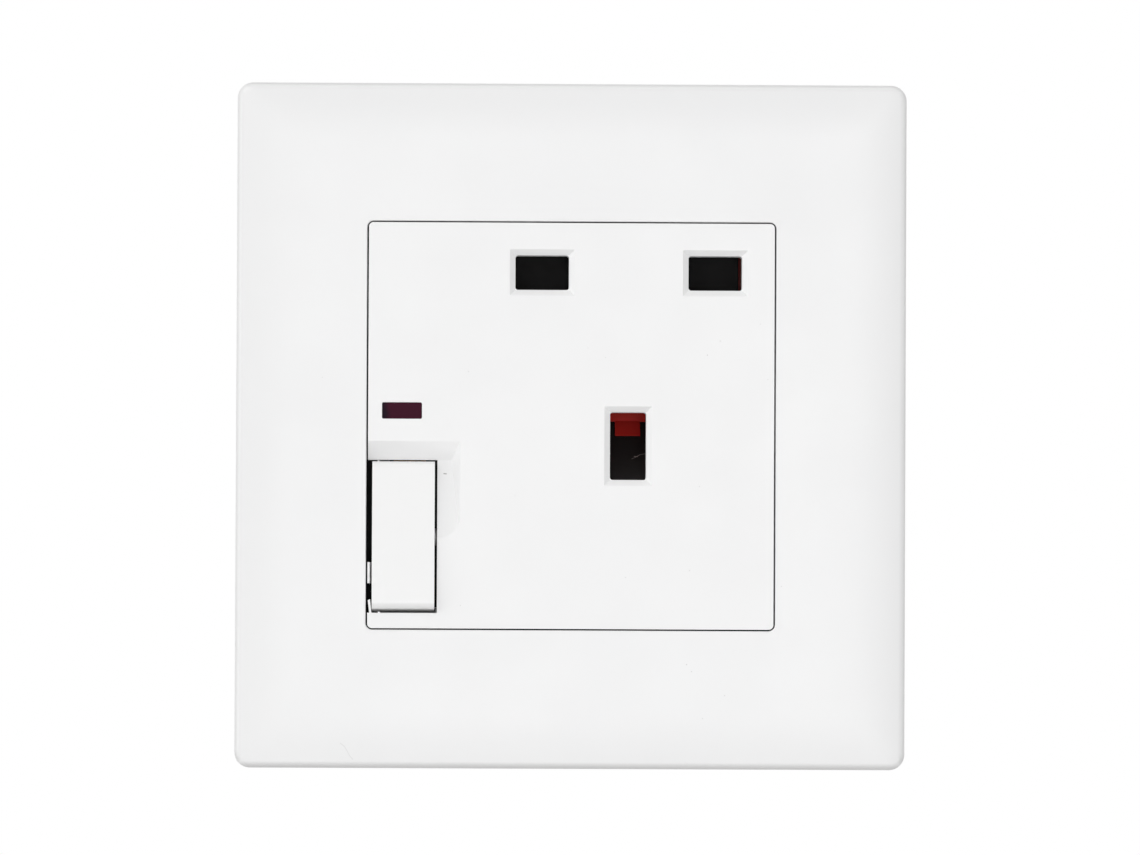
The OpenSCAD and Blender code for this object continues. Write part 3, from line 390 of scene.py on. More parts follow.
def paint_over(tree, shader, strength, colour):
    """Lays a colour, by its strength, over whatever already drives the shader's base colour."""
    socket = shader.inputs["Base Color"]
    plain = socket.links[0].from_socket
    mix = tree.nodes.new("ShaderNodeMix")
    mix.data_type = "RGBA"
    first = next(item for item in mix.inputs if item.type == "RGBA" and item.name == "A")
    second = next(item for item in mix.inputs if item.type == "RGBA" and item.name == "B")
    result = next(item for item in mix.outputs if item.type == "RGBA")
    tree.links.new(strength, mix.inputs[0])
    tree.links.new(plain, first)
    second.default_value = (*colour, 1)
    tree.links.new(result, socket)


def specks(*places):
    """Dots of dust; each place is (px, py, half width in mm, strength)."""
    return [((px, py), (px, py), size, strength) for px, py, size, strength in places]


print("marks are placed by their pixels in the photograph")

# %% [markdown]
# ## White polycarbonate
#
# The surround, the cover and the rocker are moulded in glossy white polycarbonate. Its
# surface is satin rather than mirror-like because the steel mould was spark-eroded very
# finely. A faint cloud in the colour and a very fine bump keep it from looking computed.


# %% White mouldings
# A grey laid over the white: real dust for the specks and the scratch, painted shade for the plate's rim and the
# rocker's pin.
DUST_AND_SHADE_GREY = (0.3, 0.29, 0.28)
# These paint the plate's rim darker than its face, most at the bottom: painted shade for the round edges.
RIM_START = (42.1 * MM, 1, 43.1 * MM)
RIM_BLEND = 0.7 * MM
RIM_SHADE = 0.12
RIM_LOWER_SHADE = 0.34


def painted_rim_shade(tree, place):
    """How much painted shade a point on the plate's rim gets, from 0 to its strength; the lower rim gets more."""
    size = vector_step(tree, "ABSOLUTE", place).outputs["Vector"]
    past = vector_step(tree, "SUBTRACT", size, RIM_START).outputs["Vector"]
    sides = tree.nodes.new("ShaderNodeSeparateXYZ")
    tree.links.new(past, sides.inputs[0])
    furthest = tree.nodes.new("ShaderNodeMath")
    furthest.operation = "MAXIMUM"
    tree.links.new(sides.outputs["X"], furthest.inputs[0])
    tree.links.new(sides.outputs["Z"], furthest.inputs[1])
    height = tree.nodes.new("ShaderNodeSeparateXYZ")
    tree.links.new(place, height.inputs[0])
    most = tree.nodes.new("ShaderNodeMapRange")
    most.inputs["From Min"].default_value = -RIM_START[2]
    most.inputs["From Max"].default_value = -RIM_START[2] + 2 * RIM_BLEND
    most.inputs["To Min"].default_value = RIM_LOWER_SHADE
    most.inputs["To Max"].default_value = RIM_SHADE
    tree.links.new(height.outputs["Z"], most.inputs["Value"])
    ramp = tree.nodes.new("ShaderNodeMapRange")
    ramp.inputs["From Max"].default_value = RIM_BLEND
    tree.links.new(furthest.outputs[0], ramp.inputs["Value"])
    tree.links.new(most.outputs["Result"], ramp.inputs["To Max"])
    return ramp.outputs["Result"]


def white_moulding(name, white, shade, marks=(), rim=False):
    material, tree, shader, place = finish(name, 0.34, IOR=1.585)
    tint(tree, noise(tree, place, 45), shade, white, shader.inputs["Base Color"])
    if marks:
        paint_over(tree, shader, mark_strength(tree, place, marks), DUST_AND_SHADE_GREY)
    # Painted shade on the plate's rim, laid over the white.
    if rim:
        paint_over(tree, shader, painted_rim_shade(tree, place), DUST_AND_SHADE_GREY)
    spread(tree, noise(tree, place, 120), 0.31, 0.37, shader.inputs["Roughness"])
    relief(tree, noise(tree, place, 6000, 2), 0.01 * MM, 0.12, shader)
    return material


PLATE_MARKS = specks(
    (686, 664, 0.13, 0.45), (691, 671, 0.12, 0.4), (781, 586, 0.12, 0.3), (724, 695, 0.14, 0.3),
    (702, 718, 0.12, 0.3), (322, 377, 0.12, 0.2),
) + [
    ((340, 742.5), (344.2, 745.8), 0.09, 0.22), ((344.2, 745.8), (346.7, 750), 0.08, 0.22),
    ((346.7, 750), (349.2, 755), 0.07, 0.22), ((349.2, 755), (352.5, 758.7), 0.07, 0.25),
]
COVER_MARKS = specks(
    (468, 371, 0.13, 0.3), (720, 340.5, 0.2, 0.2), (707, 354.5, 0.12, 0.5), (625, 577, 0.12, 0.35),
    (689, 570, 0.13, 0.35), (605, 357, 0.12, 0.25), (760, 323.5, 0.12, 0.25), (767.5, 379, 0.12, 0.25),
    (587.5, 347.5, 0.11, 0.2), (699, 486, 0.13, 0.25), (514.5, 495, 0.11, 0.2), (460, 605, 0.12, 0.3),
) + [((443.4, 473), (445.8, 473.2), 0.11, 0.95)]
# The surround gets the painted rim shade as well as its dust specks and scratch.
surround_white = white_moulding(
    "surround polycarbonate", (0.885, 0.885, 0.885), (0.872, 0.872, 0.874), PLATE_MARKS, rim=True
)
cover_white = white_moulding("cover polycarbonate", (0.885, 0.885, 0.885), (0.874, 0.874, 0.875), COVER_MARKS)
# A painted shade on the rocker's pin, so that it stays dark where it shows in the gap beside the rocker.
PIN_PAINTED_SHADE = [((436.3, 522), (436.3, 551), 0.25, 1.0)]
rocker_white = white_moulding("rocker polycarbonate", (0.91, 0.91, 0.907), (0.9, 0.9, 0.898), PIN_PAINTED_SHADE)
print("three white mouldings")

# %% [markdown]
# ## Black nylon and the shutter's plastics
#
# What lies behind the face is darker: the frame, the rear base and the shutter's guide
# are glass-filled black nylon with a dry, grainy skin, and the shutter is a black front
# on a red slide.


# %% Dark mouldings
PALE_FIBRE = (0.5, 0.48, 0.45)
FIBRE = [
    ((632.5, 457.2), (636, 455.6), 0.06, 0.45), ((635, 454.6), (638.5, 454.8), 0.07, 0.8),
    ((636, 455.6), (641, 452.8), 0.06, 0.7), ((641, 452.8), (646.5, 451.8), 0.05, 0.5),
]


def grainy_nylon(name, dark, light, roughness, grain, gloss=0.5, marks=(), lit_below=None):
    """Dry black or coloured nylon; below a height, where one is given, it is painted lighter, as painted light."""
    material, tree, shader, place = finish(name, roughness, Specular_IOR_Level=gloss)
    value = noise(tree, place, 300, 5)
    if lit_below is not None:
        value = drift(tree, place, "Z", lit_below, lit_below - LIT_BLEND, 300, 0.4)
    tint(tree, value, dark, light, shader.inputs["Base Color"])
    if marks:
        paint_over(tree, shader, mark_strength(tree, place, marks), PALE_FIBRE)
    spread(tree, noise(tree, place, 700), roughness - 0.08, roughness + 0.08, shader.inputs["Roughness"])
    relief(tree, noise(tree, place, 2600, 4), 0.04 * MM, grain, shader)
    return material


# Below a height the shutter and the slide are painted lighter: painted light, standing in for the light that reaches
# their lower parts.
LIT_BLEND = 6 * MM
SHUTTER_PLAIN = (0.006, 0.0058, 0.0058)
SHUTTER_PAINTED_LIT = (0.026, 0.024, 0.024)
SLIDE_PLAIN = (0.16, 0.012, 0.01)
SLIDE_PAINTED_LIT = (0.74, 0.04, 0.032)
PAINTED_LIGHT_HEIGHT = 13 * MM
frame_black = grainy_nylon("frame nylon", (0.004, 0.004, 0.0045), (0.008, 0.008, 0.0085), 0.6, 0.3, 0.2)
base_black = grainy_nylon("base nylon", (0.014, 0.014, 0.015), (0.024, 0.024, 0.025), 0.5, 0.35)
retainer_black = grainy_nylon("retainer nylon", (0.01, 0.01, 0.011), (0.017, 0.017, 0.018), 0.55, 0.3)
shutter_black = grainy_nylon(
    "shutter black", SHUTTER_PLAIN, SHUTTER_PAINTED_LIT, 0.55, 0.15, 0.05, FIBRE, lit_below=PAINTED_LIGHT_HEIGHT
)
shutter_red = grainy_nylon("shutter red", SLIDE_PLAIN, SLIDE_PAINTED_LIT, 0.45, 0.12, 0.1, lit_below=PAINTED_LIGHT_HEIGHT)
print("five dark or coloured mouldings")

# %% [markdown]
# ## Metals
#
# The contact strips are rolled phosphor bronze, so their grain runs in long streaks. The
# terminal blocks are cut from drawn brass bar, the screws are zinc plated, and the
# springs are bright drawn wire.


# %% Metal finishes
def metal(name, dark, light, roughness, streaks, grain):
    material, tree, shader, place = finish(name, roughness, Metallic=1.0)
    rolled = noise(tree, place, 500, 4, streaks)
    tint(tree, rolled, dark, light, shader.inputs["Base Color"])
    spread(tree, rolled, roughness - 0.07, roughness + 0.1, shader.inputs["Roughness"])
    relief(tree, noise(tree, place, 1800, 3, streaks), 0.015 * MM, grain, shader)
    return material


strip_bronze = metal("rolled bronze", (0.62, 0.33, 0.16), (0.76, 0.45, 0.25), 0.28, (1, 1, 0.08), 0.2)
block_brass = metal("drawn brass", (0.66, 0.48, 0.18), (0.82, 0.63, 0.3), 0.3, (1, 1, 0.15), 0.25)
screw_zinc = metal("zinc plating", (0.55, 0.55, 0.53), (0.7, 0.7, 0.68), 0.32, (1, 0.3, 1), 0.2)
spring_wire = metal("drawn steel wire", (0.5, 0.5, 0.5), (0.68, 0.68, 0.67), 0.24, (1, 1, 1), 0.1)
contact_silver = metal("contact silver", (0.78, 0.77, 0.74), (0.9, 0.89, 0.86), 0.22, (1, 1, 1), 0.12)
print("five metals")

# %% [markdown]
# ## Lens, lamp and the small parts
#
# The lens is a thin plate of dark red plastic over the unlit lamp, so it reads almost
# black with a wine-red cast. The lamp is clear glass, and the resistor wears the colour
# bands of its value.

# %% Lens and lamp finishes
LENS_DARK = (0.013, 0.0055, 0.012)
LENS_WINE = (0.046, 0.0055, 0.017)
lens_low, lens_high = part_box("neon_lens")
lens_red, tree, shader, place = finish("neon lens red", 0.25, IOR=1.5, Specular_IOR_Level=0.03)
across_lens = drift(tree, place, "X", lens_low[0], lens_high[0], 700, 0.25)
tint(tree, across_lens, LENS_DARK, LENS_WINE, shader.inputs["Base Color"], 0.3, 0.42)
relief(tree, noise(tree, place, 900, 2), 0.02 * MM, 0.1, shader)

lamp_glass, tree, shader, place = finish("lamp glass", 0.04, IOR=1.5, Transmission_Weight=1.0)
tint(tree, noise(tree, place, 200), (0.93, 0.95, 0.95), (0.98, 0.99, 0.99), shader.inputs["Base Color"])
relief(tree, noise(tree, place, 350, 1), 0.03 * MM, 0.1, shader)

acetal, tree, shader, place = finish("plunger acetal", 0.3, IOR=1.48)
tint(tree, noise(tree, place, 150), (0.78, 0.76, 0.68), (0.84, 0.82, 0.75), shader.inputs["Base Color"])
relief(tree, noise(tree, place, 2500), 0.02 * MM, 0.1, shader)

sleeve, tree, shader, place = finish("lead sleeve", 0.45)
tint(tree, noise(tree, place, 400), (0.55, 0.55, 0.53), (0.64, 0.64, 0.62), shader.inputs["Base Color"])
relief(tree, noise(tree, place, 1500), 0.03 * MM, 0.15, shader)
print("lens, glass, acetal and sleeve")

# %% [markdown]
# ## Softening the hard edges
#
# A moulded or cut edge is never razor sharp: it has a small round that catches the light.
# We could model each round by hand, but the solids are exact, so a copy of each one with
# its doubled points merged and its flat triangles joined takes a Bevel modifier well. The
# modifier rounds only edges sharper than its limit, so that curved walls stay smooth.

# %% Softened copies
SHARP = math.radians(35)
FLAT = math.radians(0.3)
WELD = 0.002 * MM


def place_in_scene(name, mesh, body, slot, *nodes):
    """Makes an object of a finished mesh, rides it on its body and lets it stand for CAD nodes."""
    piece = bpy.data.objects.new(name, mesh)
    bpy.context.collection.objects.link(piece)
    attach(piece, body)
    if nodes:
        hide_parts(*nodes)
    return piece


def smooth_by_angle(mesh, limit=SHARP):
    """Smooth shading with the edges above the limit kept sharp."""
    for polygon in mesh.polygons:
        polygon.use_smooth = True
    mesh.set_sharp_from_angle(angle=limit)


def bevelled(source, width, segments=2):
    """A plain mesh of a closed shape with its sharp edges rounded."""
    holder = bpy.data.objects.new("edge work", source)
    bpy.context.collection.objects.link(holder)
    rounder = holder.modifiers.new("edge rounds", "BEVEL")
    rounder.width = width
    rounder.segments = segments
    rounder.limit_method = "ANGLE"
    rounder.angle_limit = SHARP
    weigher = holder.modifiers.new("even shading", "WEIGHTED_NORMAL")
    weigher.keep_sharp = True
    smooth_by_angle(source)
    graph = bpy.context.evaluated_depsgraph_get()
    result = bpy.data.meshes.new_from_object(
        holder.evaluated_get(graph), preserve_all_data_layers=True, depsgraph=graph
    )
    bpy.data.objects.remove(holder)
    return result


def softened(node, width, material, segments=2, reshape=None):
    """Stands a copy of a CAD node, with its sharp edges rounded, in that node's place."""
    work = bmesh.new()
    work.from_mesh(frame["nodes"][node].data)
    bmesh.ops.remove_doubles(work, verts=work.verts, dist=WELD)
    bmesh.ops.dissolve_limit(work, angle_limit=FLAT, verts=work.verts, edges=work.edges)
    if reshape:
        reshape(work)
    source = bpy.data.meshes.new(node + " edges")
    work.to_mesh(source)
    work.free()
    mesh = bevelled(source, width, segments)
    mesh.materials.clear()
    mesh.materials.append(material)
    slot = SLOTS[node]
    return place_in_scene(node + "_finished", mesh, BODY_OF[node], slot, node)


BODY_OF = {
    node: body
    for body, nodes in frame["record"]["behaviour"]["bodies"].items()
    for node in nodes
}
SLOTS = {part["node"]: part["material_slot"] for part in frame["record"]["subparts"]}
print("bodies:", sorted(set(BODY_OF.values())))

# %% [markdown]
# ## The surround plate
#
# The surround is the piece that the eye follows. Its face is flat in the middle, falls
# away very gently over the outer 7 mm, and turns over a 1 mm round into the side walls,
# also round the corners. We build it as one skin: a list of rounded rectangles, each a
# little further along the section, joined loop to loop until the last meets the first.


# %% Surround sections
def rounded_loop(half_w, half_h, radius, y, steps=8):
    """Points of a rounded rectangle, the same number at every call."""
    points = []
    for quarter, (sx, sz) in enumerate(((1, 1), (-1, 1), (-1, -1), (1, -1))):
        for step in range(steps + 1):
            angle = math.radians(90 * quarter + 90 * step / steps)
            points.append((
                sx * (half_w - radius) + radius * math.cos(angle),
                y,
                sz * (half_h - radius) + radius * math.sin(angle),
            ))
    return points


def skin_of_loops(name, loops, closed_ring):
    """Joins loops of equally many points with quads; a ring's last loop meets its first."""
    work = bmesh.new()
    rows = [[work.verts.new([c * MM for c in p]) for p in loop] for loop in loops]
    count = len(rows[0])
    pairs = list(zip(rows, rows[1:]))
    if closed_ring:
        pairs.append((rows[-1], rows[0]))
    for near, far in pairs:
        for i in range(count):
            j = (i + 1) % count
            work.faces.new((near[i], near[j], far[j], far[i]))
    if not closed_ring:
        work.faces.new(rows[0])
        work.faces.new(rows[-1])
    bmesh.ops.recalc_face_normals(work, faces=work.faces)
    mesh = bpy.data.meshes.new(name)
    work.to_mesh(mesh)
    work.free()
    return mesh


PLATE_HALF_W = 43.0
PLATE_HALF_H = 44.0
PROJECTION = 9.0
CORNER_R = 2.0
EDGE_R = 1.0
PILLOW_BAND = 7.0
PILLOW_DROP = 0.75
OPENING_HALF = 26.25
OPENING_LOWER = 0.02
OPENING_R = 0.85
LIP_R = 0.15
COLLAR_T = 1.2
COLLAR_BACK = 3.4
PLATE_WALL = 2.2
SIDE_WALL = 1.8

# %% [markdown]
# The fall of the face is an arc that is tangent to the flat, and the 1 mm round is
# tangent to both that arc and the side wall, so the light runs over it without a break.

# %% Surround mesh
pillow_r = (PILLOW_BAND**2 + PILLOW_DROP**2) / (2 * PILLOW_DROP)
reach = PILLOW_BAND - EDGE_R
round_y = -PROJECTION + pillow_r - math.sqrt((pillow_r - EDGE_R) ** 2 - reach**2)
touch_angle = math.acos(reach / (pillow_r - EDGE_R))


def plate_loop(inset, y, radius=None):
    corner = max(CORNER_R - inset, 1.2) if radius is None else radius
    return rounded_loop(PLATE_HALF_W - inset, PLATE_HALF_H - inset, corner, y)


def opening_loop(half, y, radius=OPENING_R):
    return rounded_loop(half, half - OPENING_LOWER, radius, y)


BACK_EDGE = 0.2
EDGE_STEPS = 8
PILLOW_STEPS = 12
LIP_STEPS = 3
loops = [plate_loop(BACK_EDGE, 0), plate_loop(0.06, -0.06), plate_loop(0, -BACK_EDGE)]
for step in range(EDGE_STEPS + 1):
    a = touch_angle * step / EDGE_STEPS
    loops.append(plate_loop(EDGE_R * (1 - math.cos(a)), round_y - EDGE_R * math.sin(a)))
pillow_angle = math.asin(reach / (pillow_r - EDGE_R))
for step in range(1, PILLOW_STEPS + 1):
    a = pillow_angle * (1 - step / PILLOW_STEPS)
    loops.append(plate_loop(PILLOW_BAND - pillow_r * math.sin(a), -PROJECTION + pillow_r * (1 - math.cos(a))))
loops.append(opening_loop(OPENING_HALF + 0.6, -PROJECTION, OPENING_R + 0.6))
for step in range(LIP_STEPS + 1):
    a = math.radians(90) * step / LIP_STEPS
    half = OPENING_HALF + LIP_R * (1 - math.sin(a))
    loops.append(opening_loop(half, -PROJECTION + LIP_R * (1 - math.cos(a))))
loops += [
    opening_loop(OPENING_HALF, -COLLAR_BACK - 0.1),
    opening_loop(OPENING_HALF + 0.1, -COLLAR_BACK),
    opening_loop(OPENING_HALF + COLLAR_T - 0.1, -COLLAR_BACK, 1.1),
    opening_loop(OPENING_HALF + COLLAR_T, -COLLAR_BACK - 0.1, 1.2),
    opening_loop(OPENING_HALF + COLLAR_T, -PROJECTION + PLATE_WALL + 0.2, 1.2),
    opening_loop(OPENING_HALF + COLLAR_T + 0.2, -PROJECTION + PLATE_WALL, 1.4),
    plate_loop(SIDE_WALL + 0.4, -PROJECTION + PLATE_WALL, 1.0),
    plate_loop(SIDE_WALL, -PROJECTION + PLATE_WALL + 0.4, 1.0),
    plate_loop(SIDE_WALL, -BACK_EDGE, 1.0),
    plate_loop(SIDE_WALL - BACK_EDGE, 0, 1.1),
]
surround_mesh = skin_of_loops("surround skin", loops, closed_ring=True)
print("surround loops:", len(loops))

# %% [markdown]
# Four hooks stand behind the face and snap into the mounting frame. They are short
# prisms with a sloping nose, so a small function makes each one from its side view.

# %% Surround hooks
HOOK_W = 6.0
HOOK_T = 1.3
HOOK_X = 22.0
HOOK_Z = PLATE_HALF_H - SIDE_WALL - 0.6 - 4.6
HOOK_SIDE = ((-6.9, 0), (0.0, 0), (-1.2, 0.9), (-1.2, HOOK_T - 0.1), (-6.9, HOOK_T))


def add_prism(work, outline, x0, x1, place):
    """Adds a prism to a mesh in progress: its side view is drawn in Y and Z, in millimetres."""
    rows = [
        [work.verts.new(place @ Vector((x * MM, y * MM, z * MM))) for y, z in outline]
        for x in (x0, x1)
    ]
    faces = [work.faces.new(rows[0]), work.faces.new(rows[1])]
    for i in range(len(outline)):
        j = (i + 1) % len(outline)
        faces.append(work.faces.new((rows[0][i], rows[0][j], rows[1][j], rows[1][i])))
    bmesh.ops.recalc_face_normals(work, faces=faces)


hooks = bmesh.new()
hooks.from_mesh(surround_mesh)
for centre in (-HOOK_X, HOOK_X):
    for flip in (1, -1):
        outline = [(y, flip * (HOOK_Z + z)) for y, z in HOOK_SIDE]
        add_prism(hooks, outline, centre - HOOK_W / 2, centre + HOOK_W / 2, Matrix())
hooks.to_mesh(surround_mesh)
hooks.free()
smooth_by_angle(surround_mesh)
surround_mesh.materials.append(surround_white)
surround = place_in_scene(
    "surround_finished", surround_mesh, BODY_OF["surround_plate"], SLOTS["surround_plate"], "surround_plate"
)
shader_even = surround.modifiers.new("even shading", "WEIGHTED_NORMAL")
shader_even.keep_sharp = True
print("surround faces:", len(surround_mesh.polygons))

# %% [markdown]
# ## The rocker's ends
#
# A rocker turns about pins that lie deep behind its face, so its ends need room when they
# swing in. On the real one the ends are rounded as far as the swing allows and run on
# inwards as two short skirts, which leave only a hairline beside the opening. We slide
# the end points of the copy along that side view and add the skirts as two short prisms.
# All sizes here are millimetres in the rocker's own frame, with its pivot at zero.

# %% Rocker's side view
PIVOT = Vector((0, -5.9 * MM, -14.26 * MM))
ROCKER_LEAN = math.radians(-5)
ROCKER_FRAME = Matrix.Translation(PIVOT) @ Matrix.Rotation(ROCKER_LEAN, 4, "X")
FACE_DEPTH = -3.6
SOLID_ROUND = 1.1
SOLID_REACH = 9.35
END_DEPTH = 1.3
END_ROUND = 0.8
END_REACH = {1: 9.46, -1: 9.57}
SKIRT_START = -2.0
SKIRT_DEPTH = 0.5
SKIRT_REACH = 9.66
SKIRT_T = 0.9
WIDER_RIGHT = 0.17
NEAR = 0.01


def skirt_line(side, y):
    """How far the end reaches at a depth behind its round."""
    start = FACE_DEPTH + END_DEPTH
    share = (y - start) / (SKIRT_DEPTH - start)
    return END_REACH[side] + (SKIRT_REACH - END_REACH[side]) * share


def finished_end(y, z):
    """Where a point of the solid's square end lies on the finished end."""
    side = 1 if z > 0 else -1
    past_start = abs(z) - (SOLID_REACH - SOLID_ROUND)
    before_centre = FACE_DEPTH + SOLID_ROUND - y
    if past_start < -NEAR:
        return y, z
    if before_centre < -NEAR:
        return y, side * skirt_line(side, y)
    angle = math.atan2(past_start, before_centre)
    return (
        FACE_DEPTH + END_DEPTH * (1 - math.cos(angle)),
        side * (END_REACH[side] - END_ROUND * (1 - math.sin(angle))),
    )


# %% Rocker's reshaping
def finish_rocker(work):
    to_own = ROCKER_FRAME.inverted()
    points = {vert: to_own @ vert.co / MM for vert in work.verts}
    ends = [vert for vert, p in points.items() if abs(p.z) > SOLID_REACH - SOLID_ROUND - NEAR]
    left = min(points[vert].x for vert in ends)
    right = max(points[vert].x for vert in ends)
    for vert in ends:
        p = points[vert]
        y, z = finished_end(p.y, p.z)
        x = p.x + WIDER_RIGHT if p.x > right - NEAR else p.x
        vert.co = ROCKER_FRAME @ (Vector((x, y, z)) * MM)
    for side in (1, -1):
        outline = [
            (SKIRT_START, side * (skirt_line(side, SKIRT_START) - NEAR)),
            (SKIRT_DEPTH, side * SKIRT_REACH),
            (SKIRT_DEPTH, side * (SKIRT_REACH - SKIRT_T)),
            (SKIRT_START, side * (SKIRT_REACH - SKIRT_T - 0.2)),
        ]
        add_prism(work, outline, left + NEAR, right + WIDER_RIGHT - NEAR, ROCKER_FRAME)
    print("end points moved:", len(ends))


# %% [markdown]
# ## Cover and rocker
#
# The cover's slots have crisp mitred lead-ins and its finger recess has a sharp upper
# edge, so its rounds are only about a tenth of a millimetre. The rocker is a touch
# softer, because a finger runs over it.

# %% Cover and rocker
cover = softened("socket_cover", 0.1 * MM, cover_white)
rocker = softened("rocker", 0.12 * MM, rocker_white, 3, finish_rocker)
print("cover faces:", len(cover.data.polygons), "rocker faces:", len(rocker.data.polygons))

# %% [markdown]
# ## The parts behind the face
#
# The same treatment, with the edge that each way of making leaves: stamped strip has a
# small burr-free round, bar stock a light chamfer, and nylon mouldings a soft one.

# %% Parts behind the face
PLAN = {
    "mounting_frame": (0.15, frame_black),
    "rear_base": (0.15, base_black),
    "shutter_retainer": (0.12, retainer_black),
    "shutter_blade": (0.1, shutter_black),
    "shutter_slide": (0.1, shutter_red),
    "rocker_plunger": (0.1, acetal),
    "moving_contact": (0.08, strip_bronze),
    "moving_contact_tip": (0.12, contact_silver),
    "fixed_contact": (0.08, strip_bronze),
    "fixed_contact_tip": (0.12, contact_silver),
    "common_strip": (0.08, strip_bronze),
    "live_contact": (0.08, strip_bronze),
    "neutral_contact": (0.08, strip_bronze),
    "earth_contact": (0.08, strip_bronze),
    "live_terminal_block": (0.12, block_brass),
    "neutral_terminal_block": (0.12, block_brass),
    "earth_terminal_block": (0.12, block_brass),
    "live_terminal_screw": (0.1, screw_zinc),
    "neutral_terminal_screw": (0.1, screw_zinc),
    "earth_terminal_screw": (0.1, screw_zinc),
    "neon_lens": (0.05, lens_red),
    "neon_lamp": (0.1, lamp_glass),
    "neon_leads": (0.03, sleeve),
    "assembly_screws": (0.1, screw_zinc),
    "retainer_screws": (0.08, screw_zinc),
}
for node, (width, material) in PLAN.items():
    softened(node, width * MM, material)
print("softened pieces:", len(PLAN))

# %% [markdown]
# ## The springs
#
# A compression spring is one wire along a helix whose end turns lie closed. Geometry
# Nodes can bend a straight line into that helix with a formula and sweep the wire along
# it, and the same tree serves both springs, because its sizes are inputs.

# %% Spring tree
spring_tree = bpy.data.node_groups.new("compression spring", "GeometryNodeTree")
for socket_name, default in (("Mean Radius", 0.0018), ("Wire Radius", 0.0002), ("Length", 0.014), ("Turns", 8.0)):
    made = spring_tree.interface.new_socket(socket_name, in_out="INPUT", socket_type="NodeSocketFloat")
    made.default_value = default
spring_tree.interface.new_socket("Wire Finish", in_out="INPUT", socket_type="NodeSocketMaterial")
spring_tree.interface.new_socket("Geometry", in_out="OUTPUT", socket_type="NodeSocketGeometry")


class Recipe:
    """Short ways to add nodes and arithmetic to a geometry tree."""

    def __init__(self, tree):
        self.tree = tree
        self.inputs = tree.nodes.new("NodeGroupInput").outputs
        self.result = tree.nodes.new("NodeGroupOutput").inputs[0]

    def add(self, kind, **inputs):
        node = self.tree.nodes.new(kind)
        for name, value in inputs.items():
            self.feed(node.inputs[name.replace("_", " ")], value)
        return node

    def feed(self, socket, value):
        if isinstance(value, bpy.types.NodeSocket):
            self.tree.links.new(value, socket)
        else:
            socket.default_value = value

    def sum_of(self, operation, *values):
        node = self.tree.nodes.new("ShaderNodeMath")
        node.operation = operation
        for socket, value in zip(node.inputs, values):
            self.feed(socket, value)
        return node.outputs[0]

    def ramp(self, value, start, end):
        """From 0 to 1 between two values, and flat outside them."""
        node = self.add("ShaderNodeMapRange", Value=value, From_Min=start, From_Max=end)
        return node.outputs["Result"]


spring = Recipe(spring_tree)
POINTS_A_TURN = 24
points = spring.sum_of("MULTIPLY", spring.inputs["Turns"], POINTS_A_TURN)
line = spring.add("GeometryNodeMeshLine", Count=points)
path = spring.add("GeometryNodeMeshToCurve", Mesh=line.outputs[0])
along = spring.add("GeometryNodeSplineParameter").outputs["Factor"]
turn_number = spring.sum_of("MULTIPLY", along, spring.inputs["Turns"])
angle = spring.sum_of("MULTIPLY", turn_number, 2 * math.pi)
last_turn = spring.sum_of("SUBTRACT", spring.inputs["Turns"], 1.0)
CLOSED_RISE = 2.1
ends = spring.sum_of(
    "ADD", spring.ramp(turn_number, 0.0, 1.0), spring.ramp(turn_number, last_turn, spring.inputs["Turns"])
)
closed_part = spring.sum_of("MULTIPLY", spring.sum_of("MULTIPLY", ends, CLOSED_RISE), spring.inputs["Wire Radius"])
open_length = spring.sum_of(
    "SUBTRACT", spring.inputs["Length"], spring.sum_of("MULTIPLY", spring.inputs["Wire Radius"], 2 + 2 * CLOSED_RISE)
)
open_part = spring.sum_of("MULTIPLY", spring.ramp(turn_number, 1.0, last_turn), open_length)
height = spring.sum_of(
    "ADD", spring.sum_of("ADD", closed_part, open_part), spring.inputs["Wire Radius"]
)
helix_point = spring.add(
    "ShaderNodeCombineXYZ",
    X=spring.sum_of("MULTIPLY", spring.inputs["Mean Radius"], spring.sum_of("COSINE", angle)),
    Y=spring.sum_of("MULTIPLY", spring.inputs["Mean Radius"], spring.sum_of("SINE", angle)),
    Z=height,
)
helix = spring.add("GeometryNodeSetPosition", Geometry=path.outputs[0], Position=helix_point.outputs[0])
wire_section = spring.add("GeometryNodeCurvePrimitiveCircle", Resolution=12, Radius=spring.inputs["Wire Radius"])
swept = spring.add("GeometryNodeCurveToMesh", Curve=helix.outputs[0], Profile_Curve=wire_section.outputs[0])
swept.inputs["Fill Caps"].default_value = True
shaded = spring.add("GeometryNodeSetShadeSmooth", Geometry=swept.outputs[0])
real = spring.add("GeometryNodeRealizeInstances", Geometry=shaded.outputs[0])
coated = spring.add("GeometryNodeSetMaterial", Geometry=real.outputs[0], Material=spring.inputs["Wire Finish"])
spring_tree.links.new(coated.outputs[0], spring.result)
print("spring tree nodes:", len(spring_tree.nodes))


# %% Mesh from a tree
def mesh_from_tree(name, tree, **values):
    """Evaluates a geometry tree with the named inputs and returns a plain mesh."""
    holder = bpy.data.objects.new(name, bpy.data.meshes.new(name))
    bpy.context.collection.objects.link(holder)
    modifier = holder.modifiers.new("recipe", "NODES")
    modifier.node_group = tree
    identifiers = {
        item.name: item.identifier for item in tree.interface.items_tree if item.in_out == "INPUT"
    }
    for input_name, value in values.items():
        modifier[identifiers[input_name.replace("_", " ")]] = value
    ready = holder.evaluated_get(bpy.context.evaluated_depsgraph_get())
    mesh = bpy.data.meshes.new_from_object(ready)
    bpy.data.objects.remove(holder)
    mesh.name = name
    return mesh


def close_and_turn_out(mesh):
    """Merges doubled points and turns the faces outwards."""
    work = bmesh.new()
    work.from_mesh(mesh)
    bmesh.ops.remove_doubles(work, verts=work.verts, dist=WELD / 4)
    bmesh.ops.recalc_face_normals(work, faces=work.faces)
    work.to_mesh(mesh)
    work.free()


# %% [markdown]
# The shutter's spring stands upright under the slide. The rocker's spring lies in the
# tube behind the rocker and leans with it, so its mesh is turned before it is placed.

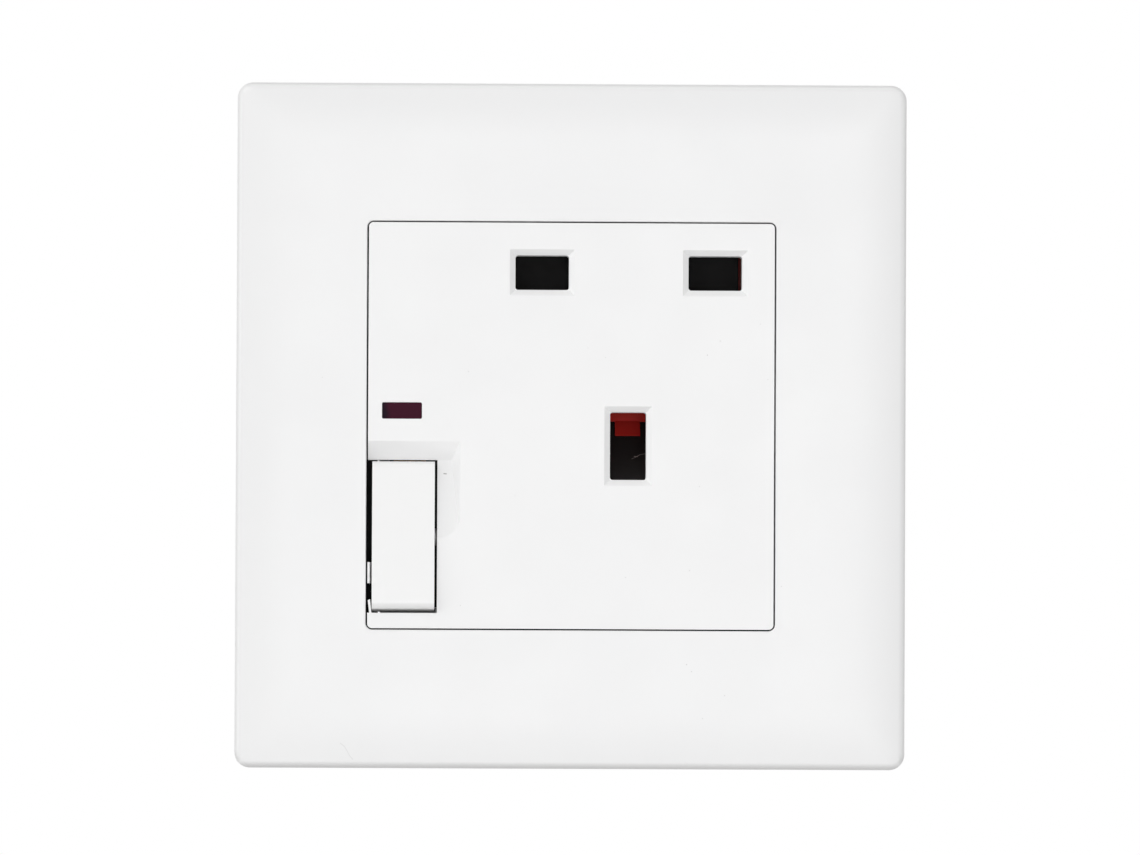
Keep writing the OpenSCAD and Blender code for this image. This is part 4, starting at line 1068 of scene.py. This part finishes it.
# %% Two springs
shutter_coil = mesh_from_tree(
    "shutter coil", spring_tree, Mean_Radius=1.8 * MM, Wire_Radius=0.22 * MM,
    Length=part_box("shutter_spring")[1][2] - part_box("shutter_spring")[0][2], Turns=8.0, Wire_Finish=spring_wire,
)
low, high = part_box("shutter_spring")
shutter_coil.transform(Matrix.Translation(((low[0] + high[0]) / 2, (low[1] + high[1]) / 2, low[2])))
close_and_turn_out(shutter_coil)
shutter_spring = place_in_scene(
    "shutter_spring_finished", shutter_coil, BODY_OF["shutter_spring"], SLOTS["shutter_spring"], "shutter_spring"
)
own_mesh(shutter_spring)

ROCKER_SPRING_L = 4.7 * MM
TUBE_X = (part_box("rocker_plunger")[0][0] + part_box("rocker_plunger")[1][0]) / 2
TUBE_FLOOR = 0.3 * MM
rocker_coil = mesh_from_tree(
    "rocker coil", spring_tree, Mean_Radius=1.15 * MM, Wire_Radius=0.16 * MM,
    Length=ROCKER_SPRING_L, Turns=6.0, Wire_Finish=spring_wire,
)
rocker_coil.transform(
    ROCKER_FRAME
    @ Matrix.Translation((TUBE_X, TUBE_FLOOR, 0))
    @ Matrix.Rotation(math.radians(-90), 4, "X")
)
close_and_turn_out(rocker_coil)
place_in_scene(
    "rocker_spring_finished", rocker_coil, BODY_OF["rocker_spring"], SLOTS["rocker_spring"], "rocker_spring"
)
print("spring faces:", len(shutter_coil.polygons), len(rocker_coil.polygons))

# %% [markdown]
# ## The resistor
#
# A film resistor is a dumb-bell: two press-fitted caps under lacquer make its ends
# thicker than its middle. Turning a side view about its axis gives that shape, and the
# bands are painted by height in the piece's own coordinates.


# %% Resistor
def turned(name, profile, centre, segments=32):
    """A closed solid of revolution about Z; the profile runs from pole to pole."""
    work = bmesh.new()
    bottom = work.verts.new((centre[0], centre[1], profile[0][1]))
    top = work.verts.new((centre[0], centre[1], profile[-1][1]))
    rows = []
    for r, z in profile[1:-1]:
        rows.append([
            work.verts.new((
                centre[0] + r * math.cos(2 * math.pi * k / segments),
                centre[1] + r * math.sin(2 * math.pi * k / segments),
                z,
            ))
            for k in range(segments)
        ])
    for k in range(segments):
        j = (k + 1) % segments
        work.faces.new((bottom, rows[0][j], rows[0][k]))
        work.faces.new((top, rows[-1][k], rows[-1][j]))
        for near, far in zip(rows, rows[1:]):
            work.faces.new((near[k], near[j], far[j], far[k]))
    bmesh.ops.recalc_face_normals(work, faces=work.faces)
    mesh = bpy.data.meshes.new(name)
    work.to_mesh(mesh)
    work.free()
    smooth_by_angle(mesh)
    return mesh


low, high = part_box("neon_resistor")
resistor_r = (high[0] - low[0]) / 2
resistor_l = high[2] - low[2]
CAP = 0.28
WAIST = 0.84
side_view = [(0, 0)]
for share, radius in ((0, 0.55), (0.02, 0.8), (0.06, 0.96), (0.14, 1.0), (0.22, 0.97), (CAP, WAIST)):
    side_view.append((radius, share))
side_view += [(radius, 1 - share) for radius, share in reversed(side_view[1:])] + [(0, 1)]
resistor_mesh = turned(
    "resistor body",
    [(radius * resistor_r, low[2] + share * resistor_l) for radius, share in side_view],
    ((low[0] + high[0]) / 2, (low[1] + high[1]) / 2),
)

resistor_paint, tree, shader, place = finish("banded lacquer", 0.3)
split = tree.nodes.new("ShaderNodeSeparateXYZ")
tree.links.new(place, split.inputs[0])
height_share = tree.nodes.new("ShaderNodeMapRange")
height_share.inputs["From Min"].default_value = low[2]
height_share.inputs["From Max"].default_value = high[2]
tree.links.new(split.outputs["Z"], height_share.inputs["Value"])
bands = tree.nodes.new("ShaderNodeValToRGB")
bands.color_ramp.interpolation = "CONSTANT"
LACQUER = (0.62, 0.45, 0.24, 1)
STRIPES = (
    (0.14, (0.18, 0.07, 0.03, 1)), (0.21, LACQUER), (0.33, (0.01, 0.01, 0.01, 1)), (0.4, LACQUER),
    (0.5, (0.75, 0.55, 0.02, 1)), (0.57, LACQUER), (0.76, (0.6, 0.42, 0.12, 1)), (0.83, LACQUER),
)
bands.color_ramp.elements[0].color = LACQUER
bands.color_ramp.elements[1].position = STRIPES[0][0]
bands.color_ramp.elements[1].color = STRIPES[0][1]
for position, colour in STRIPES[1:]:
    bands.color_ramp.elements.new(position).color = colour
tree.links.new(height_share.outputs["Result"], bands.inputs["Fac"])
tree.links.new(bands.outputs["Color"], shader.inputs["Base Color"])
relief(tree, noise(tree, place, 1200), 0.02 * MM, 0.15, shader)
resistor_mesh.materials.append(resistor_paint)
place_in_scene(
    "neon_resistor_finished", resistor_mesh, BODY_OF["neon_resistor"], SLOTS["neon_resistor"], "neon_resistor"
)
print("resistor length:", round(resistor_l / MM, 1), "mm")
